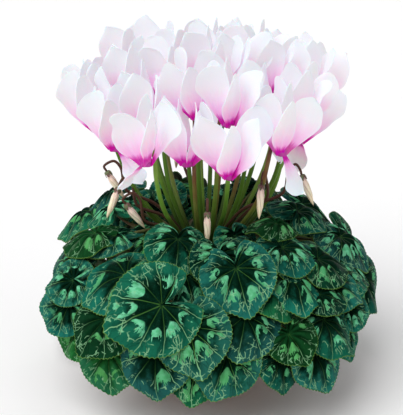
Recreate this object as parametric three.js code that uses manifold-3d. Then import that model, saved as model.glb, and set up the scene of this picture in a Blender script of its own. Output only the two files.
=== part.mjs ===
// A florist's cyclamen in a plain 14 cm pot: a low dome of heart-shaped leaves that hangs down over
// the pot, and a dense head of swept-back blooms and a few nodding buds on stalks that rise from the
// tuber. Millimetres, +Z up, origin at the centre of the pot's flat base, front of the plant towards -Y.
import * as THREE from "three";
import { mergeVertices } from "three/addons/utils/BufferGeometryUtils.js";
import Module from "manifold-3d";

const wasm = await Module();
wasm.setup();

// Driving dimensions
const GAP = 0.3; // clearance between pieces that rest on each other
const POT = { height: 124, base: 49, top: 66, rim: 71, rimDrop: 17, wall: 2.2, floor: 3, sides: 24 };
const DRAIN = { holes: 6, radius: 4, ring: 30 };
const SOIL = { top: 110, crown: 4 };
const TUBER = { radius: 34, base: 92, top: 122, sides: 14 };
const DOME = { radius: 168, rise: 105, centre: 78, power: 0.5 }; // the surface that the leaves lie on
const LEAF = { thick: 0.9, bend: 150, clear: 4.6, rounds: 110 };
const PETIOLE = { radius: 1.5, sides: 3, steps: 2, clear: 2.1, entry: 0.13 };
const ROOT = { first: 18.5, step: 4, radius: 2.2, lift: 1.4 };
const STALK = { radius: 1.8, sides: 3, foot: 0.12, lift: 3.5, clear: 3.4 };
const CROWN = { radius: 15.4, height: 9 };
const PETAL = { claw: 2.2, length: 61, half: 17, thick: 0.8, grow: 0.9 };
const HEAD = 36; // height over the nose of the middle of a bloom
const NOSE = { radius: 5.2, low: 1.4, high: 4.2, height: 10.5, top: 3.6 };
const BUD = { length: 27, radius: 3.6, sides: 5 };
const VIEW = 0.364; // the fall of the line of sight, for heights measured as seen from the front

const COLOURS = {
  pot: [0x9c5a44, 0.6],
  soil: [0x3a2a1f, 0.95],
  tuber: [0x5b4030, 0.9],
  leaf: [0x1f6b3c, 0.5],
  stalk: [0x6b6430, 0.5],
  petal: [0xf6dcec, 0.55],
  bud: [0xf1dcb4, 0.55],
};

// Where things stand
// Leaves of the front half, foremost first, as seen from the front and a little above: x and height of
// the leaf's notch, the turn of its tip from straight down (to the right is positive), and its width.
const FRONT_LEAVES = [
  [-39, 84, -57, 86], [-26, 147, 14, 62], [13, 134, 0, 55], [72, 141, 60, 60], [78, 58, 17, 50],
  [-93, 72, -22, 66], [109, 131, 57, 60], [117, 71, 16, 66], [28, 119, 5, 70], [-74, 115, -51, 76],
  [-15, 62, 12, 72], [38, 171, -45, 48], [85, 119, -15, 62], [-84, 181, -62, 58], [-133, 83, -67, 62],
  [95, 178, 60, 62], [-47, 38, 5, 68], [20, 36, -20, 66], [-128, 106, -54, 50], [-87, 161, -40, 60],
  [140, 113, 43, 48], [107, 36, 10, 62], [-132, 128, -71, 54], [75, 30, 0, 52], [111, 97, 49, 46],
  [40, 79, -22, 68], [-108, 154, -45, 60], [53, 150, -30, 48], [147, 81, 52, 48], [-95, 36, 9, 66],
  [-55, 153, -17, 46], [78, 134, 5, 44], [-138, 113, -56, 52], [-18, 124, 15, 60], [145, 50, 0, 46],
  [-128, 55, -30, 56], [150, 121, 24, 46], [-10, 22, -8, 58], [70, 112, -5, 60], [-50, 112, 20, 50],
  [128, 108, 30, 54], [100, 84, 15, 56], [-47, 172, -25, 44], [20, 168, 12, 42], [70, 166, 25, 46],
];
// Rings of leaves round the back: angle up the dome, how many make a full ring, and their width.
const BACK_RINGS = [
  [75, 7, 54], [61, 9, 62], [45, 10, 67], [28, 11, 69], [11, 10, 72], [-5, 10, 70],
];
// How far the leaves at the sides turn their faces to the front, in degrees
const LEAN = 26;
const BACK = { from: 94, to: 266 };
// Young leaves that stand up behind the stalks: their azimuths, and the angle up the dome, depth under
// it, lift and width of them all.
const UPRIGHT = { azimuths: [138, 162, 187, 212, 234], angle: 80, inset: 20, lift: 52, width: 44 };

// Blooms: x, how far to the front, height of the nose, and which petal hangs (-1 for none).
const BLOOMS = [
  [-99, 8, 259, -1], [-50, 54, 241, 1], [-18, 48, 242, -1], [20, 70, 237, -1], [67, 46, 251, 2],
  [90, 6, 246, 3], [-61, -8, 286, -1], [-32, 0, 291, -1], [7, 2, 296, -1], [20, 30, 272, -1],
  [-23, -40, 297, -1], [100, -30, 276, -1], [64, -8, 292, -1], [52, 30, 268, 3], [-65, -36, 301, -1],
  [-12, 26, 276, -1], [13, -48, 295, -1], [50, -50, 291, -1], [-96, -30, 266, -1], [-42, -80, 266, 2],
  [32, -84, 264, 1], [-45, 32, 268, -1], [-82, 32, 250, 4], [74, -64, 281, -1], [32, -14, 290, -1],
  [84, 28, 272, -1],
];
const PETAL_TURNS = [47, 111, 175, 239, 303]; // the stalk passes between the last and the first
// Buds: x, how far to the front, height of the bud's neck, the azimuth to which its hook nods, and how
// far its tip swings that way.
const BUDS = [
  [-95, 25, 225, -90, -0.6], [-84, 36, 212, -80, 0.4], [-76, 46, 199, -75, -0.7],
  [2, 78, 202, 0, 0], [53, 68, 226, -20, 0.2], [94, 30, 223, 80, 0.4], [-28, -66, 228, 200, 0.2],
];

const { sin, cos, abs, min, max, hypot, atan2, PI } = Math;
const rad = (degrees) => (degrees * PI) / 180;
const V = (x, y, z) => new THREE.Vector3(x, y, z);
const mix = (a, b, u) => a + (b - a) * u;
const smooth = (u) => {
  const c = min(1, max(0, u));
  return c * c * (3 - 2 * c);
};
// A repeatable draw between 0 and 1 for a pair of numbers.
const draw = (a, b) => {
  const v = sin(a * 12.9898 + b * 78.233) * 43758.5453;
  return v - Math.floor(v);
};
const spread = (a, b, size) => (draw(a, b) * 2 - 1) * size;

// Solids
function solidFrom(positions, triangles) {
  return new wasm.Manifold(
    new wasm.Mesh({
      numProp: 3,
      vertProperties: new Float32Array(positions.flat()),
      triVerts: new Uint32Array(triangles.flat()),
    }),
  );
}

function solidOf(geometry) {
  const bare = geometry.clone();
  bare.deleteAttribute("normal");
  bare.deleteAttribute("uv");
  const merged = mergeVertices(bare, 1e-3);
  return new wasm.Manifold(
    new wasm.Mesh({
      numProp: 3,
      vertProperties: merged.attributes.position.array,
      triVerts: new Uint32Array(merged.index.array),
    }),
  );
}

function geometryOf(solid) {
  const mesh = solid.getMesh();
  const flat = new THREE.BufferGeometry();
  flat.setAttribute("position", new THREE.BufferAttribute(mesh.vertProperties, 3));
  flat.setIndex(new THREE.BufferAttribute(mesh.triVerts, 1));
  const faceted = flat.toNonIndexed();
  faceted.computeVertexNormals();
  return faceted;
}

const union = (solids) => wasm.Manifold.union(solids);

// A turned solid: a profile of [radius, height] points from the axis back to the axis.
function turned(profile, sides) {
  const lathe = new THREE.LatheGeometry(profile.map(([r, z]) => new THREE.Vector2(r, z)), sides);
  return solidOf(lathe.rotateX(PI / 2));
}

// A thin blade's skin: a surface of points and triangles given its thickness, split alike on both faces,
// with a band all along its edge but for the edges that are left open.
function skinOf(points, triangles, thick, open = []) {
  const normals = points.map(() => V(0, 0, 0));
  for (const [a, b, c] of triangles) {
    const face = points[b].clone().sub(points[a]).cross(points[c].clone().sub(points[a]));
    for (const i of [a, b, c]) normals[i].add(face);
  }
  const count = points.length;
  const shifted = (side) =>
    points.map((p, i) => p.clone().addScaledVector(normals[i].clone().normalize(), (side * thick) / 2));
  const positions = [...shifted(1), ...shifted(-1)].map((p) => p.toArray());
  const faces = [...triangles, ...triangles.map(([a, b, c]) => [a + count, c + count, b + count])];
  const edges = new Map();
  for (const [a, b, c] of triangles) {
    for (const [i, j] of [[a, b], [b, c], [c, a]]) edges.set(i + "," + j, [i, j]);
  }
  for (const [i, j] of edges.values()) {
    if (edges.has(j + "," + i) || open.includes(i + "," + j)) continue;
    faces.push([j, i, i + count], [j, i + count, j + count]);
  }
  return { positions, faces };
}

function blade(points, triangles, thick) {
  const { positions, faces } = skinOf(points, triangles, thick);
  return solidFrom(positions, faces);
}

// A stem through the points, straight between them, so that a tight hook can have more of them.
function stem(points, radius, sides) {
  const ring = Array.from({ length: sides }, (_, i) => {
    const a = (i * 2 * PI) / sides;
    return new THREE.Vector2(radius * cos(a), radius * sin(a));
  });
  const path = new THREE.CatmullRomCurve3(points, false, "centripetal");
  path.getSpacedPoints = path.getPoints;
  path.getTangentAt = path.getTangent;
  const steps = points.length - 1;
  return solidOf(
    new THREE.ExtrudeGeometry(new THREE.Shape(ring), { steps, extrudePath: path, bevelEnabled: false }),
  );
}

// Leaves
// The dome's point, its outward normal, its downward and its rightward direction.
function domeAt(azimuth, angle) {
  const a = rad(azimuth);
  const t = rad(angle);
  const r = DOME.radius * cos(t) ** DOME.power;
  const dr = -DOME.radius * DOME.power * cos(t) ** (DOME.power - 1) * sin(t);
  const dz = DOME.rise * cos(t);
  const out = V(sin(a), -cos(a), 0);
  const down = out.clone().multiplyScalar(-dr).setZ(-dz).normalize();
  const normal = out.clone().multiplyScalar(dz).setZ(-dr).normalize();
  const point = out.clone().multiplyScalar(r).setZ(DOME.centre + DOME.rise * sin(t));
  return { point, normal, down, right: V(cos(a), sin(a), 0) };
}

// The leaf's frame at its notch. High leaves nod to the front and the back, and stand out at the sides.
function leafAt(azimuth, angle, roll, width, inset, index, stand = 0, lean = 0) {
  const dome = domeAt(azimuth, angle);
  const nod = smooth((angle - 35) / 35) * mix(0.35, 1, abs(cos(rad(azimuth))));
  const lift = rad((stand || mix(14, -24, nod)) + spread(index, 1, 8));
  const bank = rad(spread(index, 7, 12) + lean * sin(rad(azimuth)));
  const turn = rad(roll);
  const tip = dome.down.clone().multiplyScalar(cos(turn)).addScaledVector(dome.right, sin(turn));
  const along = tip.clone().multiplyScalar(cos(lift)).addScaledVector(dome.normal, sin(lift));
  const normal = dome.normal.clone().multiplyScalar(cos(lift)).addScaledVector(tip, -sin(lift));
  normal.applyAxisAngle(along, bank);
  const side = along.clone().cross(normal).negate();
  const base = dome.point.clone().addScaledVector(dome.normal, -inset);
  return { index, width, base, side, along, normal };
}

// The place on the dome's front half that is seen at x and the given height.
function domeSeen(x, height) {
  let low = -40;
  let high = 88;
  for (let i = 0; i < 24; i++) {
    const angle = (low + high) / 2;
    const { point } = domeAt(0, angle);
    const front = Math.sqrt(max(0, point.y ** 2 - x ** 2));
    if (point.z - VIEW * front < height) low = angle;
    else high = angle;
  }
  const reach = -domeAt(0, low).point.y;
  return { azimuth: Math.asin(max(-1, min(1, x / reach))) / rad(1), angle: low };
}

function allLeaves() {
  const leaves = FRONT_LEAVES.map(([x, height, roll, width], i) => {
    const { azimuth, angle } = domeSeen(x, height);
    return leafAt(azimuth, angle, roll, width, (12 * i) / FRONT_LEAVES.length, i);
  });
  BACK_RINGS.forEach(([angle, count, width], ring) => {
    const step = 360 / count;
    const start = BACK.from + (ring % 2 ? step / 2 : 0);
    for (let a = start; a <= BACK.to; a += step) {
      const i = leaves.length;
      const azimuth = a + spread(i, 2, 5);
      leaves.push(
        leafAt(azimuth, angle + spread(i, 3, 3), spread(i, 4, 26), width + spread(i, 5, 7), 5, i, 0, LEAN),
      );
    }
  });
  for (const azimuth of UPRIGHT.azimuths) {
    const { angle, inset, lift, width } = UPRIGHT;
    const i = leaves.length;
    leaves.push(leafAt(azimuth, angle, spread(i, 4, 20), width, inset, i, lift));
  }
  return leaves;
}

// How far the leaf's edge lies from the notch, as a share of its width, at an angle from its tip.
function edgeAt(turn) {
  const back = PI - abs(turn);
  const point = 0.055 * Math.exp(-((turn / 0.24) ** 2));
  return (0.5 + 0.08 * cos(turn) + point) * min(1, back / 0.3) ** 0.5;
}

// How far the leaf's surface stands off its own plane: it bends down all round and is a little waved.
function reliefAt(leaf, turn, reach) {
  const rim = reach / (0.5 * leaf.width);
  const wave = 0.022 * cos(3 * turn + 6.28 * draw(leaf.index, 6)) + 0.016 * cos(5 * turn + leaf.index);
  return -(reach * reach) / (2 * LEAF.bend) + leaf.width * wave * rim * rim;
}

function leafPoint(leaf, turn, share) {
  const reach = edgeAt(turn) * leaf.width * share;
  return leaf.base
    .clone()
    .addScaledVector(leaf.side, reach * sin(turn))
    .addScaledVector(leaf.along, reach * cos(turn))
    .addScaledVector(leaf.normal, reliefAt(leaf, turn, reach));
}

const TEST_TURNS = Array.from({ length: 13 }, (_, i) => rad(-168 + 28 * i));
const leafTests = (leaf) => [
  leaf.base.clone(),
  ...TEST_TURNS.flatMap((turn) => [leafPoint(leaf, turn, 0.5), leafPoint(leaf, turn, 0.98)]),
];

// The height of a point over a leaf's surface, or null where it isn't over the leaf.
function heightOver(leaf, point) {
  const off = point.clone().sub(leaf.base);
  const x = off.dot(leaf.side);
  const y = off.dot(leaf.along);
  const turn = atan2(x, y);
  const reach = hypot(x, y);
  if (reach > edgeAt(turn) * leaf.width * 1.03) return null;
  return off.dot(leaf.normal) - reliefAt(leaf, turn, reach);
}

// Moves a leaf as a stiff plate so that one of its points goes by the given step.
function nudge(leaf, point, step) {
  const centre = leaf.base.clone().addScaledVector(leaf.along, 0.15 * leaf.width);
  const arm = point.clone().sub(centre);
  const spin = arm.clone().cross(step);
  const inertia = 0.1 * leaf.width * leaf.width;
  const give = 1 + arm.lengthSq() / inertia;
  const share = 1 / give;
  const turn = spin.multiplyScalar(share / inertia);
  const angle = turn.length();
  if (angle > 1e-9) {
    const axis = turn.clone().divideScalar(angle);
    for (const way of [leaf.side, leaf.along, leaf.normal]) way.applyAxisAngle(axis, angle);
    leaf.base.sub(centre).applyAxisAngle(axis, angle).add(centre);
  }
  leaf.base.addScaledVector(step, share);
}

// Pushes crossing leaves apart, so that a leaf whose notch is covered lies beneath, and all of them out
// of the flower stalks' way.
function settleLeaves(leaves) {
  for (let round = 0; round < LEAF.rounds; round++) {
    let moved = 0;
    for (let k = 1; k < leaves.length; k++) {
      for (let j = 0; j < k; j++) {
        const a = leaves[j];
        const b = leaves[k];
        if (a.base.distanceTo(b.base) > 0.68 * (a.width + b.width)) continue;
        let low = { d: 1e9 };
        let high = { d: -1e9 };
        const see = (d, point, upper) => {
          if (d < low.d) low = { d, point, upper };
          if (d > high.d) high = { d, point, upper };
        };
        for (const p of leafTests(b)) {
          const d = heightOver(a, p);
          if (d !== null) see(d, p, true);
        }
        for (const p of leafTests(a)) {
          const d = heightOver(b, p);
          if (d !== null) see(-d, p, false);
        }
        if (low.d > 1e8) continue;
        const covered = heightOver(b, a.base) !== null;
        const covers = heightOver(a, b.base) !== null;
        let up = LEAF.clear - low.d <= high.d + LEAF.clear;
        if (covered !== covers) up = covered;
        if (up ? low.d >= LEAF.clear : high.d <= -LEAF.clear) continue;
        const worst = up ? low : high;
        const push = up ? min(3, LEAF.clear - low.d) : max(-3, -(high.d + LEAF.clear));
        const way = (worst.upper ? a : b).normal.clone().multiplyScalar(push * 0.55);
        nudge(b, worst.point, way);
        nudge(a, worst.point, way.clone().negate());
        moved++;
      }
    }
    for (const leaf of leaves) {
      for (const point of leafTests(leaf)) {
        const off = hypot(point.x, 1.4 * point.y);
        const room = 22 + 0.68 * (point.z - TUBER.top);
        if (off < room) nudge(leaf, point, V(point.x, point.y, 0).multiplyScalar(room / off - 1));
      }
    }
    if (!moved) break;
  }
  return leaves;
}

// Six times the signed volume of a tetrahedron.
const volumeOf = (a, b, c, d) => b.clone().sub(a).cross(c.clone().sub(a)).dot(d.clone().sub(a));

// Whether the line from p to q passes through the triangle.
function crossing(p, q, [a, b, c]) {
  if (volumeOf(a, b, c, p) * volumeOf(a, b, c, q) >= 0) return false;
  const u = volumeOf(p, q, a, b);
  return u * volumeOf(p, q, b, c) > 0 && u * volumeOf(p, q, c, a) > 0;
}

// A sheet that stems keep off: its triangles, and the ball that holds them.
function sheetOf(points, triangles) {
  const centre = points.reduce((sum, p) => sum.add(p), V(0, 0, 0)).divideScalar(points.length);
  const reach = max(...points.map((p) => p.distanceTo(centre)));
  return { centre, reach, faces: triangles.map((face) => face.map((i) => points[i])) };
}

// How often a stem passes through the sheets or by them closer than its clearance.
const ASIDE = [V(0, 0, 0), V(1, 0, 0), V(-1, 0, 0), V(0, 1, 0), V(0, -1, 0), V(0, 0, 1), V(0, 0, -1)];
function timesBlocked(points, sheets, clear) {
  let times = 0;
  for (let k = 1; k < points.length; k++) {
    const middle = points[k - 1].clone().lerp(points[k], 0.5);
    const reach = 0.5 * points[k - 1].distanceTo(points[k]) + clear;
    for (const { centre, reach: size, faces } of sheets) {
      if (middle.distanceTo(centre) > reach + size) continue;
      for (const aside of ASIDE) {
        const p = points[k - 1].clone().addScaledVector(aside, clear);
        const q = points[k].clone().addScaledVector(aside, clear);
        if (faces.some((face) => crossing(p, q, face))) times++;
      }
    }
  }
  return times;
}

// The first of the ways that is clear, or else the least blocked one.
function freest(ways, sheets, clear) {
  let best = { times: Infinity };
  for (const way of ways) {
    const points = way();
    const times = timesBlocked(points, sheets, clear);
    if (times < best.times) best = { times, points };
    if (times === 0) break;
  }
  return best.points;
}

// The lamina: a fan of triangles from the notch to the edge.
const EDGE_TURNS = [-168, -128, -84, -40, 0, 40, 84, 128, 168].map(rad);
const LAMINA_FACES = EDGE_TURNS.slice(1).map((_, i) => [0, i + 2, i + 1]);
const laminaPoints = (leaf, share) => [
  leaf.base.clone(),
  ...EDGE_TURNS.map((turn) => leafPoint(leaf, turn, share)),
];
const laminaSolid = (leaf) => blade(laminaPoints(leaf, 1), LAMINA_FACES, LEAF.thick);
function laminaSheet(leaf) {
  const points = laminaPoints(leaf, 1.04);
  return sheetOf(points, LAMINA_FACES);
}

// The leaf's stalk: out from its root on the tuber, up over the pot's rim, and into the leaf's notch. It
// can arrive more or less steeply, swing aside, and bend sooner or later.
function petiolePoints(leaf, root, steep, swing, share, lift) {
  const high = smooth((leaf.base.z - 50) / 130);
  const arrive = leaf.normal
    .clone()
    .multiplyScalar(steep)
    .addScaledVector(leaf.along, Math.sqrt(1 - steep * steep));
  const out = V(leaf.base.x, leaf.base.y, 0).normalize();
  const rise = out.clone().multiplyScalar(mix(38, 22, high)).setZ(mix(50, 34, high) + lift).add(root);
  const entry = leaf.base.clone().lerp(leafPoint(leaf, 0, 1), PETIOLE.entry);
  const end = entry.clone().addScaledVector(leaf.normal, -3.4);
  const before = end.clone().addScaledVector(arrive, -mix(46, 30, high) * share);
  before.addScaledVector(leaf.side, swing);
  const points = new THREE.CubicBezierCurve3(root.clone(), rise, before, end).getPoints(PETIOLE.steps);
  return [...points, entry.addScaledVector(leaf.normal, -0.15)];
}

// The freest of the ways that a leaf's stalk can take.
function petioleWay(leaf, root, sheets) {
  const ways = [];
  for (const lift of [0, 22, -18]) {
    for (const share of [1, 0.6, 1.5]) {
      for (const steep of [0.7, 0.4, 0.1, 0.9]) {
        for (const swing of [0, 10, -10, 20, -20, 32, -32]) {
          ways.push(() => petiolePoints(leaf, root, steep, swing, share, lift));
        }
      }
    }
  }
  return freest(ways, sheets, PETIOLE.clear);
}

// Blooms
function bloomFrame(x, front, z, hanging, index) {
  const nose = V(x, -front, z);
  const out = V(x, -front, 0);
  const lean = rad(0.1 * out.length() + spread(index, 11, 5));
  const tilt = out.lengthSq() > 1 ? out.normalize() : V(0, -1, 0);
  const up = V(0, 0, 1).multiplyScalar(cos(lean)).addScaledVector(tilt, sin(lean));
  const turn = atan2(front, -x) / rad(1) + spread(index, 18, 40);
  return { index, nose, up, turn, hanging, size: 1 + spread(index, 12, 0.07) };
}

// Two directions across the bloom's axis: the one that the turn points to, and the one to its left.
function bloomAcross(bloom, degrees) {
  const a = rad(degrees + bloom.turn);
  const flat = V(cos(a), sin(a), 0);
  const out = flat.addScaledVector(bloom.up, -flat.dot(bloom.up)).normalize();
  return { out, left: bloom.up.clone().cross(out) };
}

const headMiddle = (bloom) => bloom.nose.clone().addScaledVector(bloom.up, HEAD * bloom.size);

// The grown sheets of a bloom's petals.
const sheetsOf = (bloom) =>
  PETAL_TURNS.map((_, petal) => sheetOf(petalPoints(bloom, petal, PETAL.grow), PETAL_FACES));

const sheetsCross = (a, b) =>
  a.centre.distanceTo(b.centre) < a.reach + b.reach &&
  [[a, b], [b, a]].some(([one, two]) =>
    one.faces.some(([p, q, r]) =>
      two.faces.some((face) => crossing(p, q, face) || crossing(q, r, face) || crossing(r, p, face)),
    ),
  );

// Blooms whose petals cross move apart, and blooms in the way of another's stalk move aside: along the
// line of sight freely, and by no more than the shift as seen from the front.
const SHIFT = 4;
const SIGHT = V(0, -1, VIEW).normalize();
function settleBlooms(blooms) {
  const still = [V(0, 0, 0), V(0, 0, 0)];
  const homes = blooms.map(({ nose }) => nose.clone());
  for (let round = 0; round < 80; round++) {
    const sheets = blooms.map(sheetsOf);
    let moved = 0;
    blooms.forEach((bloom, k) => {
      const points = bloomStalkPoints(bloom, still).slice(0, 5);
      blooms.forEach((other, j) => {
        if (j === k || !timesBlocked(points, sheets[j], STALK.clear)) return;
        const middle = headMiddle(other);
        const share = max(0, min(1, (middle.z - points[0].z) / (points[3].z - points[0].z)));
        const way = middle.sub(points[0].clone().lerp(points[3], share)).setZ(0).setLength(0.5);
        other.nose.add(way);
        bloom.nose.sub(way);
        moved++;
      });
    });
    for (let k = 1; k < blooms.length; k++) {
      for (let j = 0; j < k; j++) {
        const apart = headMiddle(blooms[k]).sub(headMiddle(blooms[j]));
        if (apart.length() > 75) continue;
        if (!sheets[j].some((a) => sheets[k].some((b) => sheetsCross(a, b)))) continue;
        apart.x *= 0.55;
        apart.z *= 0.15;
        apart.setLength(0.6);
        blooms[k].nose.add(apart);
        blooms[j].nose.sub(apart);
        moved++;
      }
    }
    blooms.forEach(({ nose }, k) => {
      const off = nose.clone().sub(homes[k]);
      const deep = off.dot(SIGHT);
      const seen = off.addScaledVector(SIGHT, -deep);
      seen.multiplyScalar(min(1, SHIFT / max(1e-6, seen.length())));
      nose.copy(homes[k]).addScaledVector(SIGHT, deep).add(seen);
    });
    if (!moved) break;
  }
  return blooms;
}

// The half width of a petal at a share of its length: a narrow claw, a broad blade, a blunt tip.
function petalHalf(share) {
  const broad = mix(PETAL.claw, PETAL.half, smooth((share - 0.02) / 0.66));
  return broad * (1 - 0.62 * max(0, (share - 0.66) / 0.34) ** 2);
}

// A point of a petal: along its length from the mouth, and across it from -1 to 1. The petal rolls
// over the rim of the mouth, sweeps back along the stalk and twists, or hangs.
function petalPoint(bloom, petal, share, across, grow) {
  const seed = bloom.index * 7 + petal;
  const { out, left } = bloomAcross(bloom, PETAL_TURNS[petal] + spread(seed, 13, 2.5));
  const hangs = petal === bloom.hanging;
  const aim = hangs ? -42 + spread(seed, 19, 22) : 72 + spread(seed, 14, 2.5);
  const curl = hangs ? -30 : 3 + spread(bloom.index, 15, 10);
  const twist = rad(hangs ? 10 : 50 + spread(seed, 16, 3));
  const length = PETAL.length * bloom.size * (hangs ? 0.66 : 1 + spread(seed, 17, 0.06)) + grow;
  const steps = 12;
  const spot = bloom.nose.clone().addScaledVector(out, 4).addScaledVector(bloom.up, 2.6);
  let tangent = out.clone();
  for (let i = 0; i < steps; i++) {
    const u = ((i + 0.5) / steps) * share;
    const climb = rad(mix(hangs ? -50 : 50, aim, smooth(u / 0.2)) + curl * u);
    tangent = out.clone().multiplyScalar(cos(climb)).addScaledVector(bloom.up, sin(climb));
    spot.addScaledVector(tangent, (length * share) / steps);
  }
  const face = tangent.clone().cross(left).normalize();
  const wind = twist * mix(0.4, 1, smooth(share / 0.9));
  const over = left.clone().multiplyScalar(cos(wind)).addScaledVector(face, sin(wind));
  const half = petalHalf(share) * bloom.size * (hangs ? 0.8 : 1) + grow;
  const cup = -0.2 * half * across * across * (1 - 0.5 * share);
  return spot.addScaledVector(over, half * across).addScaledVector(face, cup);
}

// The points of a petal's sheet, row by row from the mouth to the tip, and its triangles.
const PETAL_ROWS = [[0, [-1, 1]], [0.38, [-1, 0, 1]], [0.78, [-1, 0, 1]], [1, [0]]];
const PETAL_FACES = [
  [0, 1, 3], [0, 3, 2], [1, 4, 3], [2, 3, 6], [2, 6, 5], [3, 4, 7], [3, 7, 6], [5, 6, 8], [6, 7, 8],
];
const petalPoints = (bloom, petal, grow) =>
  PETAL_ROWS.flatMap(([share, row]) => row.map((across) => petalPoint(bloom, petal, share, across, grow)));

const localPoint = (bloom, degrees, reach, height) =>
  bloom.nose
    .clone()
    .addScaledVector(bloomAcross(bloom, degrees).out, reach * bloom.size)
    .addScaledVector(bloom.up, height * bloom.size);

// Some of a bloom's petals in one skin with the short closed tube that they spring from. The tube's side
// is open where they do.
function corolla(bloom, petals) {
  const positions = [];
  const faces = [];
  const put = (degrees, reach, height) =>
    positions.push(localPoint(bloom, degrees, reach, height).toArray()) - 1;
  const { radius, low, high, height, top } = NOSE;
  const mouth = put(0, 0, low - 0.8);
  const half = atan2(PETAL.claw, radius) / rad(1);
  const roots = PETAL_TURNS.map((turn, petal) => {
    const [a, b, c, d] = [low, high].flatMap((z) => [
      put(turn - half, radius, z),
      put(turn + half, radius, z),
    ]);
    if (petals.includes(petal)) {
      const skin = skinOf(petalPoints(bloom, petal, 0), PETAL_FACES, PETAL.thick, ["0,1"]);
      const count = skin.positions.length / 2;
      const joined = new Map([[0, a], [1, b], [count, c], [count + 1, d]]);
      const places = skin.positions.map((p, i) => joined.get(i) ?? positions.push(p) - 1);
      faces.push(...skin.faces.map((face) => face.map((i) => places[i])));
    } else {
      faces.push([a, b, d], [a, d, c]);
    }
    return [a, b, c, d, put(turn, top, height)];
  });
  roots.forEach(([a, b, c, d, tip], i) => {
    const [e, , f, , next] = roots[(i + 1) % roots.length];
    faces.push([mouth, b, a], [mouth, e, b], [b, e, f], [b, f, d], [c, d, tip], [d, f, next], [d, next, tip]);
  });
  const tips = roots.map((root) => root[4]);
  faces.push(...[1, 2, 3].map((i) => [tips[0], tips[i], tips[i + 1]]));
  return solidFrom(positions, faces);
}

const bloomSolid = (bloom) => union([corolla(bloom, [0, 2, 4]), corolla(bloom, [1, 3])]);

// The bloom's stalk: from the crown, up beside the nose, between two petals, and over into the calyx.
const stalkStart = (point) =>
  V(point.x * STALK.foot, point.y * STALK.foot, TUBER.top + STALK.lift);
const stalkBelow = (bloom) => localPoint(bloom, 0, 11, -12);

// The ways that a flower's stalk can bow aside: how far its two middle points stand off a plain line.
function stalkWay(stalkPoints, sheets) {
  const ways = [];
  for (const reach of [0, 5, 10, 16, 24]) {
    for (let turn = 0; turn < 360; turn += reach ? 45 : 360) {
      for (const [low, high] of [[1, 1], [0.4, 1], [1, 0.4], [0, 1], [1, 0]]) {
        const bow = V(reach * cos(rad(turn)), reach * sin(rad(turn)), 0);
        ways.push(() => stalkPoints([bow.clone().multiplyScalar(low), bow.clone().multiplyScalar(high)]));
      }
    }
  }
  return freest(ways, sheets, STALK.clear);
}

function bloomStalkPoints(bloom, bow) {
  const start = stalkStart(bloom.nose);
  const below = stalkBelow(bloom);
  const arch = (x, y, z) =>
    V(mix(start.x, below.x, x), mix(start.y, below.y, y), mix(start.z, below.z, z));
  return [
    start,
    arch(0.46, 0.2, 0.3).add(bow[0]),
    arch(0.84, 0.66, 0.64).add(bow[1]),
    below,
    localPoint(bloom, 0, 10.5, 3),
    localPoint(bloom, 0, 8, 13),
    localPoint(bloom, 0, 0, NOSE.height + 4),
  ];
}

function calyxSolid(centre, up, size) {
  const cup = new THREE.ConeGeometry(3.9 * size, 4.6 * size, 4).rotateX(PI / 2);
  cup.applyQuaternion(new THREE.Quaternion().setFromUnitVectors(V(0, 0, 1), up));
  cup.translate(centre.x, centre.y, centre.z);
  return solidOf(cup);
}

// Buds
// A bud nods on a hooked stalk: its neck, the way it points, and its stalk.
function budFrame([x, front, z, nod, swing], index) {
  const a = rad(nod);
  const out = V(sin(a), -cos(a), 0);
  const neck = V(x, -front, z);
  const point = V(0, 0, -1).addScaledVector(out, swing).normalize();
  return { index, neck, out, point };
}

function budSolid(bud) {
  const { length, radius, sides } = BUD;
  const profile = [
    [0, 0], [radius * 0.62, 0.6], [radius, length * 0.3], [radius * 0.7, length * 0.72], [0, length],
  ];
  const shape = turned(profile, sides);
  const turn = new THREE.Quaternion().setFromUnitVectors(V(0, 0, 1), bud.point);
  const neck = bud.neck.clone().addScaledVector(bud.point, GAP);
  const place = new THREE.Matrix4().compose(neck, turn, V(1, 1, 1));
  return shape.transform(place.elements);
}

function budStalkPoints(bud, bow) {
  const start = stalkStart(bud.neck);
  const back = (reach, height) => bud.neck.clone().addScaledVector(bud.out, -reach).add(V(0, 0, height));
  const foot = back(18, -18);
  const arch = (u, v) => start.clone().lerp(foot, u).setZ(mix(start.z, foot.z, v));
  return [
    start,
    arch(0.2, 0.4).add(bow[0]),
    arch(0.58, 0.78).add(bow[1]),
    foot,
    back(13, 5),
    back(6.5, 11.5),
    bud.neck.clone().addScaledVector(bud.point, -6).add(V(0, 0, 1)),
    bud.neck.clone().addScaledVector(bud.point, -1.5),
  ];
}

// Pot, soil and tuber
function potSolid() {
  const { height, base, top, rim, rimDrop, wall, floor, sides } = POT;
  const ledge = height - rimDrop;
  const body = turned(
    [
      [0, 0], [base, 0], [top, ledge], [rim - 1, ledge + 1], [rim, height - 1], [rim - 1, height],
      [rim - 3, height], [top - wall + 0.6, ledge], [base - wall, floor], [0, floor],
    ],
    sides,
  );
  const drills = Array.from({ length: DRAIN.holes }, (_, i) => {
    const a = (i * 2 * PI) / DRAIN.holes;
    const hole = new THREE.CylinderGeometry(DRAIN.radius, DRAIN.radius, 3 * floor, 8).rotateX(PI / 2);
    return solidOf(hole.translate(DRAIN.ring * cos(a), DRAIN.ring * sin(a), floor / 2));
  });
  return body.subtract(union(drills));
}

// Half of the tuber's outline, grown by a margin: a flattened ball with a level top.
function tuberProfile(margin) {
  const { radius, base, top } = TUBER;
  const r = radius + margin;
  return [
    [0, base - margin], [0.6 * r, base + 2 - margin], [r, mix(base, top, 0.4)], [r, mix(base, top, 0.7)],
    [r - 3, top + margin], [0, top + margin],
  ];
}

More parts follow.
